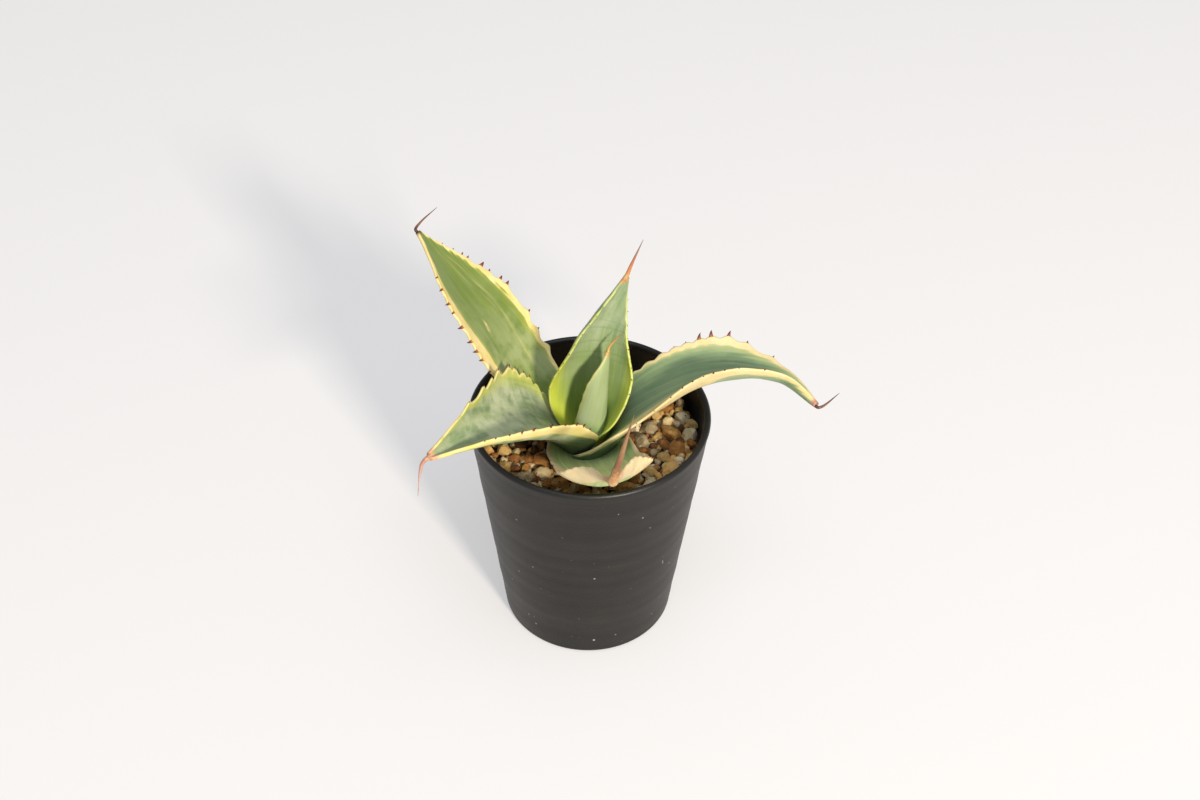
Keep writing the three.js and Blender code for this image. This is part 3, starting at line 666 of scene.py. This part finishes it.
centre_leaf = {
    "azimuth": 75,
    "midrib": [[6.5, 0, 98], [8, 0.5, 114], [10, 0, 130.5], [11, -1, 147], [13, -5.5, 162.5],
        [14.5, -11.5, 177.5]],
    "half_width": [14.5, 21, 20, 14, 7, 1.2],
    "fold": [114, 80, 66, 67, 54, 26],
    "roll": [-26, 16, 54],
    "thickness": [4.5, 4.2, 3.6, 3, 2.4, 1.8],
    "teeth": ([0.3, 0.36, 0.432, 0.49, 0.54, 0.595, 0.66, 0.73, 0.8, 0.868],
        [0.3, 0.38, 0.45, 0.5, 0.552, 0.6, 0.655, 0.71, 0.763, 0.82]),
    "tooth_lengths": ([0.4, 0.5, 0.7, 0.5, 0.4, 0.6, 0.5, 0.4, 0.4, 0.3],
        [0.4, 0.5, 0.5, 0.6, 0.8, 0.5, 0.5, 0.4, 0.4, 0.3]),
    "scallops": (0.5, 0.5),
    "spine": [[2.2, 0.2, 6.4], [6.6, 0.6, 18.4]],
    "spine_radius": 1.1,
}
centre_look = {
    "green": "#869870", "deep": "#718762", "light": "#9ba982", "wax": "#a0a990",
    "lime": "#c8cf42", "cream": "#bdc08c", "cream_deep": "#a9ac66", "base": "#7d971c",
    "blush": "#b98350", "shaded_base_length": 56, "shaded_base_upper": 0.75, "tip_length": 3.0, "nerves": 0.2,
    "fray": 0.8, "bloom": [0.2, 0.3, 0.6, 0.7, 0.6, 0.4],
    "cream_widths": ([0.2, 0.3, 0.3, 0.4, 0.4, 0.3], [0.2, 0.3, 0.3, 0.4, 0.4, 0.3]),
    "lime_widths": ([12, 12, 8, 2, 0.4, 0.2], [12, 12, 8, 1.5, 0.3, 0.2]),
    "imprints": [(38, 0.06, 0.012, 0.4), (41, 0.05, 0.01, 0.6), (47, -0.04, 0.012, 0.5),
        (54, 0.02, 0.02, 0.5), (58, 0.1, 0.02, 0.3)],
}
green_tooth = horn("green_tooth_horn", [(0.1, "#b9b563"), (0.5, "#a8743c"), (1.0, "#6b3a22")], 0.4)
amber_spine = horn(
    "amber_spine_horn",
    [(0.1, "#b3b27c"), (0.22, "#c07f4a"), (0.5, "#a8643f"), (0.78, "#8a6452"), (1.0, "#6e5d57")],
    0.36)
grow_leaf("centre", centre_leaf, centre_look, green_tooth, amber_spine)


# --------------------------------------------------------------------
# Front left leaf
# A broad leaf that leans out over the rim and folds up along its outer half. Its upper face
# is grey with wax that rain has wiped into patches, and its margins are yellow.

front_left_leaf = {
    "azimuth": -131,
    "midrib": [[10, -1.5, 94.5], [15.5, -4.5, 110], [29, -7, 121.5], [46, -5.5, 132.5],
        [67, -3.5, 143], [91, -1, 150.5]],
    "half_width": [8, 21.5, 27, 20.5, 11.5, 1.2],
    "fold": [80, 53, 64, 73, 81, 100],
    "roll": [-4, -7, -29],
    "thickness": [5, 4.8, 3.6, 3, 2.4, 1.8],
    "teeth": ([0.195, 0.24, 0.283, 0.318, 0.37, 0.408, 0.503, 0.59, 0.67, 0.775],
        [0.3, 0.38, 0.45, 0.512, 0.575, 0.647, 0.693, 0.74, 0.79, 0.828]),
    "tooth_lengths": ([0.5, 0.6, 0.9, 0.8, 0.9, 1.1, 0.8, 0.7, 0.6, 0.5],
        [1.0, 1.3, 1.4, 1.3, 1.5, 1.6, 1.2, 1.0, 0.8, 0.6]),
    "scallops": (3.2, 0.5),
    "spine": [[-2.6, -2.6, -1.2], [-4.2, -9.4, -11.6]],
    "spine_radius": 1.05,
}
front_left_look = {
    "green": "#7b8c64", "deep": "#627756", "light": "#8e9a6b", "wax": "#adb390",
    "lime": "#b6bb55", "cream": "#d8c78e", "cream_deep": "#d0c06a", "base": "#3f543d",
    "blush": "#c99a78", "shaded_base_length": 44, "shaded_base_upper": 0.05, "tip_length": 2.5, "nerves": 0.12,
    "fray": 1.2, "bloom": [0.2, 0.7, 1.0, 1.0, 0.8, 0.4],
    "cream_widths": ([0.3, 0.5, 1.4, 0.9, 0.7, 0.5], [0.2, 2.4, 6.0, 4.4, 2.8, 1]),
    "lime_widths": ([4, 5, 8, 6, 3.5, 1], [0.2, 0.4, 1.2, 2, 1.5, 0.6]),
    "imprints": [(30, 0.12, 0.012, 0.35), (34, 0.1, 0.01, 0.45), (39, 0.06, 0.008, 0.35)],
}
pink_spine = horn(
    "pink_spine_horn",
    [(0.1, "#c4b087"), (0.25, "#a5705a"), (0.5, "#a98377"), (0.8, "#b39a90"), (1.0, "#8d776f")],
    0.42)
grow_leaf("front_left", front_left_leaf, front_left_look, tooth_horn, pink_spine)


# --------------------------------------------------------------------
# Back left leaf
# An older leaf, held up into the light and so the brightest green, with pale lines along
# its middle and an even yellow margin set with small dark teeth.

back_left_leaf = {
    "azimuth": 150,
    "midrib": [[10.5, -0.5, 92], [23.5, 0.5, 109], [36.5, 0.5, 125.5], [49.5, 1, 143],
        [66.5, 2, 160], [84, 1, 178]],
    "half_width": [11, 15, 19.5, 24.5, 19, 1.2],
    "fold": [66, 40, 20, 16, 16, 20],
    "roll": [-23, -4, 11, 20, 28],
    "thickness": [5, 4.6, 3.6, 3, 2.4, 1.8],
    "teeth": ([0.36, 0.435, 0.51, 0.642, 0.672, 0.723, 0.76, 0.82, 0.843, 0.878, 0.917],
        [0.36, 0.42, 0.485, 0.545, 0.583, 0.623, 0.68, 0.733, 0.763, 0.81, 0.848]),
    "tooth_lengths": ([0.7, 0.8, 1.2, 2.2, 2.0, 1.1, 2.6, 1.1, 1.2, 0.8, 0.6],
        [0.8, 1.3, 0.8, 1.2, 1.5, 1.5, 1.7, 0.8, 1.3, 1.1, 0.6]),
    "scallops": (1.8, 1.8),
    "teeth_lean": (0, 70),
    "spine": [[1.6, 1.2, 4.4], [8.6, 3.2, 10.6]],
    "spine_radius": 0.85,
}
back_left_look = {
    "green": "#6c7f37", "deep": "#627631", "light": "#798942", "wax": "#959e6c",
    "lime": "#9aa14c", "cream": "#e4cf90", "cream_deep": "#d3bd6c", "base": "#4d6442",
    "blush": "#5a3424", "shaded_base_length": 26, "shaded_base_upper": 0.8, "tip_length": 1.2, "nerves": 0.2,
    "fray": 1.5, "bloom": [0.2, 0.6, 0.9, 0.4, 0.1, 0.1],
    "cream_widths": ([0.3, 0.6, 3.2, 4.2, 2.8, 0.8], [2, 4, 7, 8.5, 5.5, 1.2]),
    "lime_widths": ([1, 1.5, 3, 3.5, 2, 0.6], [1, 1.5, 3, 3, 2, 0.6]),
    # The third line is painted shade along a crease, and the last two are painted highlights, two
    # short glints on the wax.
    "lines": [(0.3, -0.5, 0.9, -0.32, 0.35, 0.15), (0.36, -0.42, 0.86, -0.56, 0.35, 0.22),
        (0.5, 0.3, 0.8, 0.1, 0.9, -0.6), (0.595, 0.12, 0.605, 0.13, 0.3, 0.9),
        (0.57, 0.16, 0.585, 0.17, 0.3, 0.9)],
}
dark_spine = horn(
    "dark_spine_horn",
    [(0.1, "#4e2c20"), (0.25, "#42241b"), (0.45, "#7a5745"), (0.75, "#5a3b30"), (1.0, "#3a2622")],
    0.34)
grow_leaf("back_left", back_left_leaf, back_left_look, tooth_horn, dark_spine)


# --------------------------------------------------------------------
# Right leaf
# The longest leaf arches over the rim. Its face is blue-green with dark streaks, its far
# margin is broad and cream, and its near margin rolls up to show the yellow underside.

right_leaf = {
    "azimuth": -3,
    "midrib": [[5.5, 1.5, 94.5], [17.5, 4.5, 113], [41, 10.5, 126], [60, 12, 131],
        [80.5, 9.5, 130.5], [96, -4, 128]],
    "half_width": [26, 18, 17.5, 19, 10, 1.2],
    "fold": [52, 19, 49, 51, 43, 91],
    "roll": [-11, 0, -11, -26, -42],
    "thickness": [5, 4.6, 3.6, 3, 2.4, 1.8],
    "teeth": ([0.22, 0.28, 0.34, 0.39, 0.435, 0.485, 0.53, 0.58, 0.63, 0.733],
        [0.25, 0.3, 0.348, 0.39, 0.43, 0.478, 0.522, 0.585, 0.66, 0.748]),
    "tooth_lengths": ([0.5, 0.5, 0.7, 1.0, 1.0, 0.5, 1.0, 1.0, 0.5, 0.8],
        [0.4, 0.4, 0.4, 0.4, 0.5, 2.3, 2.4, 2.2, 0.9, 0.8]),
    "scallops": (0.3, 1.6),
    "spine": [[2.8, -0.8, 0.4], [9.2, -0.4, 7.6]],
    "spine_radius": 0.95,
}
right_look = {
    "green": "#788f68", "deep": "#66805d", "light": "#93a576", "wax": "#97a779",
    "lime": "#a5ab76", "cream": "#d8c596", "cream_deep": "#c9b87c", "base": "#485e44",
    "blush": "#a77a68", "shaded_base_length": 34, "shaded_base_upper": 0.6, "tip_length": 2.5, "nerves": 0.4,
    "fray": 1.4, "bloom": [0.1, 0.2, 0.4, 0.4, 0.3, 0.3],
    "cream_widths": ([0.3, 4.5, 8.5, 5, 2.4, 0.8], [0.3, 0.4, 2.0, 4.2, 1.8, 0.8]),
    "lime_widths": ([1, 3, 4.5, 3, 1.5, 0.5], [0.5, 1, 3, 4.5, 4, 1.5]),
    "lines": [(0.79, 0.8, 0.84, 0.86, 0.5, 1.0)],
}
grow_leaf("right", right_leaf, right_look, tooth_horn, dark_spine)


# --------------------------------------------------------------------
# Front leaf
# A short leaf that turns up towards the viewer. It is ageing: its outer half has gone pale
# cream and pink, and its broad-based spine has dried out.

front_leaf = {
    "azimuth": -85,
    "midrib": [[9, -1, 97], [22, 0, 103.5], [36, 3, 111.5], [50, 3.5, 122], [62, 5, 135],
        [76, 3, 147]],
    "half_width": [20, 21, 20.5, 19.5, 10, 1.4],
    "fold": [60, 32, 28, 34, 64, 54],
    "roll": [-8, 4, 12],
    "thickness": [6, 4.8, 3.6, 3, 2.6, 2.2],
    "teeth": ([0.3, 0.38, 0.46, 0.56, 0.61, 0.657, 0.7, 0.74, 0.8, 0.86],
        [0.3, 0.38, 0.46, 0.557, 0.6, 0.65, 0.71, 0.76, 0.81, 0.87]),
    "tooth_lengths": ([0.4, 0.4, 0.5, 0.6, 0.9, 0.6, 0.5, 0.5, 0.4, 0.4],
        [0.4, 0.4, 0.5, 0.5, 0.6, 0.5, 0.4, 0.4, 0.3, 0.3]),
    "spine": [[2, -1, 10.5], [7.4, 5, 30]],
    "spine_radius": 2.2,
}
front_look = {
    "green": "#aebc7b", "deep": "#88a168", "light": "#cdd88f", "wax": "#d1d597",
    "lime": "#b1b07a", "cream": "#d6c598", "cream_deep": "#c9b184", "base": "#79925f",
    "blush": "#b98a68", "shaded_base_length": 24, "shaded_base_upper": 0.5, "tip_length": 9.0, "nerves": 0.1,
    "fray": 1.0, "bloom": [0.1, 0.3, 0.4, 0.3, 0.2, 0.2],
    "cream_widths": ([1, 2, 4, 9, 7, 2], [1, 2, 4, 9, 7, 2]),
    "lime_widths": ([0.5, 1, 2, 2, 2, 1], [0.5, 1, 2, 2, 2, 1]),
}
pink_tooth = horn("pink_tooth_horn", [(0.1, "#cfae86"), (0.5, "#a8704f"), (1.0, "#6d3f2c")], 0.42)
dry_spine = horn(
    "dry_spine_horn",
    [(0.08, "#c2a070"), (0.2, "#a67c4e"), (0.38, "#6e492c"), (0.6, "#876341"), (1.0, "#70543c")],
    0.5)
grow_leaf("front", front_leaf, front_look, pink_tooth, dry_spine)


# --------------------------------------------------------------------
# Granules
# Sieved mineral granules of 3 to 9 mm: orange-brown baked clay, soft yellow pumice and white
# pumice with dark pores. They are poured round the stem, so they lie loose and at all
# angles, higher at the right wall, and finer ones have run down between the coarse.

SOIL_LEVEL = 95.6
HEAP = 5.5
HEAP_AZIMUTH = math.radians(20)
WALL_GAP = 0.3
SOLID_POT_WIDER = 0.09
FILL_SINK = 2.8
FILL_GAP = 0.4
DRAW_FACTOR = 16807
DRAW_MODULUS = 2147483647
CLEAR_OF_LEAF = 1.8
COARSE_FROM = 3.1


def heap_at(x, y):
    """How far the fill lies above its level: it rises evenly from the axis to the wall on
    its high side."""
    out = x * math.cos(HEAP_AZIMUTH) + y * math.sin(HEAP_AZIMUTH)
    return HEAP * np.maximum(out, 0) / wall_radius(SOIL_LEVEL)


def scattered(count, largest, smallest, apart, tries, seed):
    """Places and half-sizes of granules, largest first: each is drawn evenly over the fill
    and kept if it is clear of those before it. The numbers come from one repeatable rule,
    the last one times a factor, less the modulus as often as it goes. The solids' granules
    follow it too, in a pot that is slightly wider at their level."""
    state = [seed]

    def draw():
        state[0] = state[0] * DRAW_FACTOR % DRAW_MODULUS
        return state[0] / DRAW_MODULUS

    outer = wall_radius(SOIL_LEVEL) + SOLID_POT_WIDER - POT_WALL - WALL_GAP
    inner = STEM_RADIUS + 2
    found = np.zeros((0, 3))
    for i in range(count):
        size = largest + (smallest - largest) * math.sqrt((i + 0.5) / count)
        for _ in range(tries):
            angle = 2 * math.pi * draw()
            distance = math.sqrt(inner ** 2 + ((outer - size) ** 2 - inner ** 2) * draw())
            x, y = distance * math.cos(angle), distance * math.sin(angle)
            gaps = np.hypot(found[:, 0] - x, found[:, 1] - y)
            if (gaps > apart * (size + found[:, 2])).all():
                found = np.vstack([found, [x, y, size]])
                break
    return found


def round_lump(level):
    """Points and triangles of a ball: an icosahedron whose faces are split level times."""
    golden = (1 + 5 ** 0.5) / 2
    points = unit(np.array([
        [-1, golden, 0], [1, golden, 0], [-1, -golden, 0], [1, -golden, 0],
        [0, -1, golden], [0, 1, golden], [0, -1, -golden], [0, 1, -golden],
        [golden, 0, -1], [golden, 0, 1], [-golden, 0, -1], [-golden, 0, 1]]))
    triangles = np.array([
        [0, 11, 5], [0, 5, 1], [0, 1, 7], [0, 7, 10], [0, 10, 11], [1, 5, 9], [5, 11, 4],
        [11, 10, 2], [10, 7, 6], [7, 1, 8], [3, 9, 4], [3, 4, 2], [3, 2, 6], [3, 6, 8],
        [3, 8, 9], [4, 9, 5], [2, 4, 11], [6, 2, 10], [8, 6, 7], [9, 8, 1]])
    for _ in range(level):
        edges = np.concatenate([triangles[:, pair] for pair in ([0, 1], [1, 2], [2, 0])])
        kept, which = np.unique(np.sort(edges, axis=1), axis=0, return_inverse=True)
        ab, bc, ca = len(points) + which.reshape(3, -1)
        a, b, c = triangles.T
        points = np.concatenate([points, unit(points[kept].mean(axis=1))])
        triangles = np.concatenate([np.stack(corners, axis=-1) for corners in (
            (a, ab, ca), (b, bc, ab), (c, ca, bc), (ab, bc, ca))])
    return points, triangles


def granules_piece(name, places, heights, level, facets, seed):
    """Granules as one mesh. Each is a ball whose radius in a direction is the smallest of
    the distances to a number of random planes about it, softened at the edges by a power
    mean, then stretched and turned about an axis. Its points carry a tone of their own."""
    random = np.random.default_rng(seed)
    ball, triangles = round_lump(level)
    count, softness = len(places), 36
    normals = unit(random.normal(size=(count, facets, 3)))
    depth = random.uniform(0.66, 1.0, (count, facets))
    towards = np.maximum(np.einsum("nd,kfd->knf", ball, normals), 0.05)
    planes = ((depth[:, None] / towards) ** -softness).sum(-1)
    radius = (planes + 1.25 ** -softness) ** (-1 / softness)
    radius = radius / radius.mean(axis=1, keepdims=True)
    radius = radius * (1 + random.normal(0, 0.02, radius.shape))
    stretch = random.uniform([0.92, 0.74, 0.66], [1.1, 0.98, 0.9], (count, 3))
    shape = ball[None] * radius[..., None] * stretch[:, None]
    axis = np.broadcast_to(unit(random.normal([0, 0, 3], 1, (count, 3)))[:, None], shape.shape)
    turn = random.uniform(0, 2 * np.pi, count)[:, None, None]
    shape = (shape * np.cos(turn) + np.cross(axis, shape) * np.sin(turn)
             + axis * (shape * axis).sum(-1, keepdims=True) * (1 - np.cos(turn)))
    centre = np.stack([places[:, 0], places[:, 1], heights], axis=-1)
    points = centre[:, None] + shape * places[:, 2][:, None, None]
    faces = triangles[None] + (np.arange(count) * len(ball))[:, None, None]
    tone = np.repeat(random.uniform(0, 1, count), len(ball))
    return add_mesh(name, points, faces.reshape(-1, 3).tolist(), {"tone": tone})


def granule_rock(name, tones, pore_colour, pore_share, roughness):
    """Matt, open rock: every granule has its own tone, mottled at a third of its size, with
    grain of 0.4 mm and pores of up to 0.9 mm, twice as wide as real ones so that they show."""
    rock, shader, add = new_material(name)
    tone = add("Attribute", attribute_name="tone").outputs["Fac"]
    place = add("TexCoord").outputs["Object"]
    mottle = add("TexNoise", {"Vector": place, "Scale": 420.0, "Detail": 5.0, "Roughness": 0.65})
    grain = add("TexNoise", {"Vector": place, "Scale": 2400.0, "Detail": 3.0})
    shift = add("MapRange", [mottle, 0.25, 0.75, -0.28, 0.28])
    toned = add("Math", [tone, shift], operation="ADD")
    colour = add("ValToRGB", [toned], stops=tones)
    cells = add("TexVoronoi", {"Vector": place, "Scale": 900.0})
    chance = add("SeparateColor", [cells.outputs["Color"]]).outputs["Red"]
    size = add("MapRange", [chance, 1.0 - pore_share, 1.0, 0.0, 0.42])
    depth = add("Math", [size, cells.outputs["Distance"]], operation="SUBTRACT")
    pore = add("MapRange", [depth, 0.0, 0.12])
    pored = add("Mix", {0: pore, 6: colour, 7: linear(pore_colour)}, data_type="RGBA").outputs[2]
    raised = add("Math", [grain, mottle], operation="ADD")
    sunk = add("Math", [raised, pore], operation="SUBTRACT")
    dents = add("Bump", {"Strength": 0.9, "Distance": 0.0008, "Height": sunk})
    set_sockets(shader, {"Base Color": pored, "Normal": dents, "Roughness": roughness})
    return rock


def clear_of_leaves(places, heights, share):
    """Which granules keep off the blades: those whose middle is further from every point of
    a blade than a share of their size and half the blade's thickness."""
    points = []
    for leaf in (inner_leaf, centre_leaf, front_left_leaf, back_left_leaf, right_leaf, front_leaf):
        t, u = np.meshgrid(np.linspace(0, 0.5, 26), np.linspace(-1, 1, 17), indexing="ij")
        upper, down, thickness, _ = blade_at(leaf, t, u)
        points.append((upper + down * 0.5 * thickness[..., None]).reshape(-1, 3))
    centres = np.stack([places[:, 0], places[:, 1], heights], axis=-1)
    nearest = np.linalg.norm(centres[:, None] - np.concatenate(points)[None], axis=-1).min(axis=1)
    return nearest > share * places[:, 2] + CLEAR_OF_LEAF


coarse = scattered(165, 4.6, 2.0, 0.9, 60, 2027)
fine = scattered(420, 2.6, 1.3, 0.74, 40, 811)
deep = scattered(260, 4.2, 2.4, 0.74, 40, 5077)
lot = np.concatenate([coarse, fine, deep])
sunk = np.repeat([0.1, 0.6, 1.2], [len(coarse), len(fine), len(deep)])
lot_heights = SOIL_LEVEL - sunk * lot[:, 2] + heap_at(lot[:, 0], lot[:, 1])
kept = clear_of_leaves(lot, lot_heights, 0.55)
lot, lot_heights = lot[kept], lot_heights[kept]
kind = np.random.default_rng(19).choice(3, len(lot), p=[0.5, 0.28, 0.22])
big = lot[:, 2] > COARSE_FROM
for index, (label, tones, pore_colour, pore_share, roughness, facets) in enumerate((
        ("baked_clay", [(0.0, "#633d1c"), (0.35, "#93602c"), (0.7, "#b98442"), (1.0, "#d6ab66")],
         "#4a2f17", 0.2, 0.95, 11),
        ("yellow_pumice", [(0.0, "#b08b4e"), (0.4, "#cba766"), (0.8, "#dcc189"), (1.0, "#e6d2a4")],
         "#7a5c30", 0.15, 0.95, 9),
        ("white_pumice", [(0.0, "#a18d69"), (0.4, "#c9b68e"), (0.8, "#e2d0a9"), (1.0, "#f2e5c8")],
         "#30281e", 0.36, 0.9, 12))):
    rock = granule_rock(label, tones, pore_colour, pore_share, roughness)
    for size_label, level, chosen in (("coarse", 2, big), ("fine", 1, ~big)):
        which = (kind == index) & chosen
        granules = granules_piece(
            f"{label}_granules_{size_label}", lot[which], lot_heights[which], level, facets,
            31 + 2 * index + level)
        fit_piece(granules, rock, "soil")

# The fill below is one lumpy body of the same clay, dark because no light gets between the
# granules. Its height is a sum of slow waves across the pot.
radius, angle = np.meshgrid(
    np.concatenate([[0.3], np.linspace(3, wall_radius(SOIL_LEVEL) - POT_WALL - FILL_GAP, 26)]),
    np.linspace(0, 2 * np.pi, 96, endpoint=False), indexing="ij")
x, y = radius * np.cos(angle), radius * np.sin(angle)
lumps = 0.5 * np.sin(x * 1.3) * np.sin(y * 1.1 + 1) + 0.35 * np.sin(x * 2.7 + 2) * np.sin(y * 2.3)
top = np.stack([x, y, SOIL_LEVEL - FILL_SINK + lumps + heap_at(x, y)], axis=-1)
below = turned([
    [wall_radius(50) - POT_WALL - FILL_GAP, 50],
    [wall_radius(4) - POT_WALL - 2 * FILL_GAP, POT_FLOOR + WALL_GAP],
    [POLE_RADIUS, POT_FLOOR + WALL_GAP]], 96)[0]
fill = closed_piece("granule_fill", np.concatenate([top, below])[None, ::-1])

# Packed clay granules, matt: cells of 4 mm stand for them, paler in the middle. Their dark colour,
# darkest at the cells' edges, is painted shade between the granules.
clay_fill_in_shade, shader, add = new_material("packed_clay_granules")
place = add("TexCoord").outputs["Object"]
cells = add("TexVoronoi", {"Vector": place, "Scale": 260.0})
clay_and_shade_colour = add(
    "ValToRGB", [cells], stops=[(0.0, "#6b4827"), (0.45, "#4a3019"), (0.8, "#241709")])
cell_relief = add("Bump", {"Strength": 0.8, "Distance": 0.001, "Height": cells}, invert=True)
set_sockets(shader, {"Base Color": clay_and_shade_colour, "Normal": cell_relief, "Roughness": 0.95})
fit_piece(fill, clay_fill_in_shade, "soil")


# --------------------------------------------------------------------
# Studio
# A plain pale floor that glows a little, so that shadows on it stay soft. A warm light
# stands low at the front right, a large cooler one hangs high in front, and the camera
# looks down on the plant at the angle of the photograph.

FLOOR_HALF = 3.0
LOOK_AT = (0, 0, 0.050)
CAMERA_DISTANCE = 0.7522
CAMERA_SHIFT = (0.00525, 0.0527)
CAMERA_ELEVATION = math.radians(41.48)
CAMERA_TILT = math.radians(0.862)

corners = [(-FLOOR_HALF, -FLOOR_HALF, 0), (FLOOR_HALF, -FLOOR_HALF, 0),
           (FLOOR_HALF, FLOOR_HALF, 0), (-FLOOR_HALF, FLOOR_HALF, 0)]
floor_mesh = bpy.data.meshes.new("floor")
floor_mesh.from_pydata(corners, [], [(0, 1, 2, 3)])
floor = add_object("floor", floor_mesh)
paper, shader, add = new_material("matt_white_paper")
set_sockets(shader, {
    "Base Color": linear("#a8a6a4"), "Roughness": 0.9,
    "Emission Color": linear("#fbfafb"), "Emission Strength": 0.45})
floor_mesh.materials.append(paper)


def stand_at(item, right, up, back, place):
    """Places a light or a camera, which looks against its back, by its three directions."""
    item.matrix_world = Matrix(
        [[right[i], up[i], back[i], place[i]] for i in range(3)] + [[0, 0, 0, 1]])


def soft_light(name, azimuth, elevation, distance, size, watts, colour):
    """A square area light that faces the plant from an azimuth and an elevation."""
    lamp = bpy.data.lights.new(name, "AREA")
    lamp.size = size
    lamp.energy = watts
    lamp.color = linear(colour)[:3]
    a, e = math.radians(azimuth), math.radians(elevation)
    out = np.array([math.cos(e) * math.cos(a), math.cos(e) * math.sin(a), math.sin(e)])
    right = np.array([-math.sin(a), math.cos(a), 0.0])
    stand_at(add_object(name, lamp), right, np.cross(out, right), out, out * distance + [0, 0, 0.1])


soft_light("key_light", -63, 27, 2.8, 0.34, 104, "#fff4e2")
soft_light("fill_light", -75, 72, 2.5, 1.6, 30, "#eaf1ff")
world = bpy.data.worlds.new("studio_air")
world.use_nodes = True
set_sockets(
    world.node_tree.nodes["Background"], {"Color": linear("#f1f3f6"), "Strength": 0.42})
bpy.context.scene.world = world
bpy.context.scene.view_settings.view_transform = "Standard"

lens = bpy.data.cameras.new("camera")
lens.lens = 49.5
lens.sensor_width = 36
camera = add_object("camera", lens)
sine, cosine = math.sin(CAMERA_ELEVATION), math.cos(CAMERA_ELEVATION)
back = np.array([0, -cosine, sine])
level, above = np.array([1.0, 0, 0]), np.array([0, sine, cosine])
right = math.cos(CAMERA_TILT) * level + math.sin(CAMERA_TILT) * above
up = math.cos(CAMERA_TILT) * above - math.sin(CAMERA_TILT) * level
stand_at(camera, right, up, back, np.array(LOOK_AT) + CAMERA_DISTANCE * back
         + CAMERA_SHIFT[0] * right + CAMERA_SHIFT[1] * up)
bpy.context.scene.camera = camera
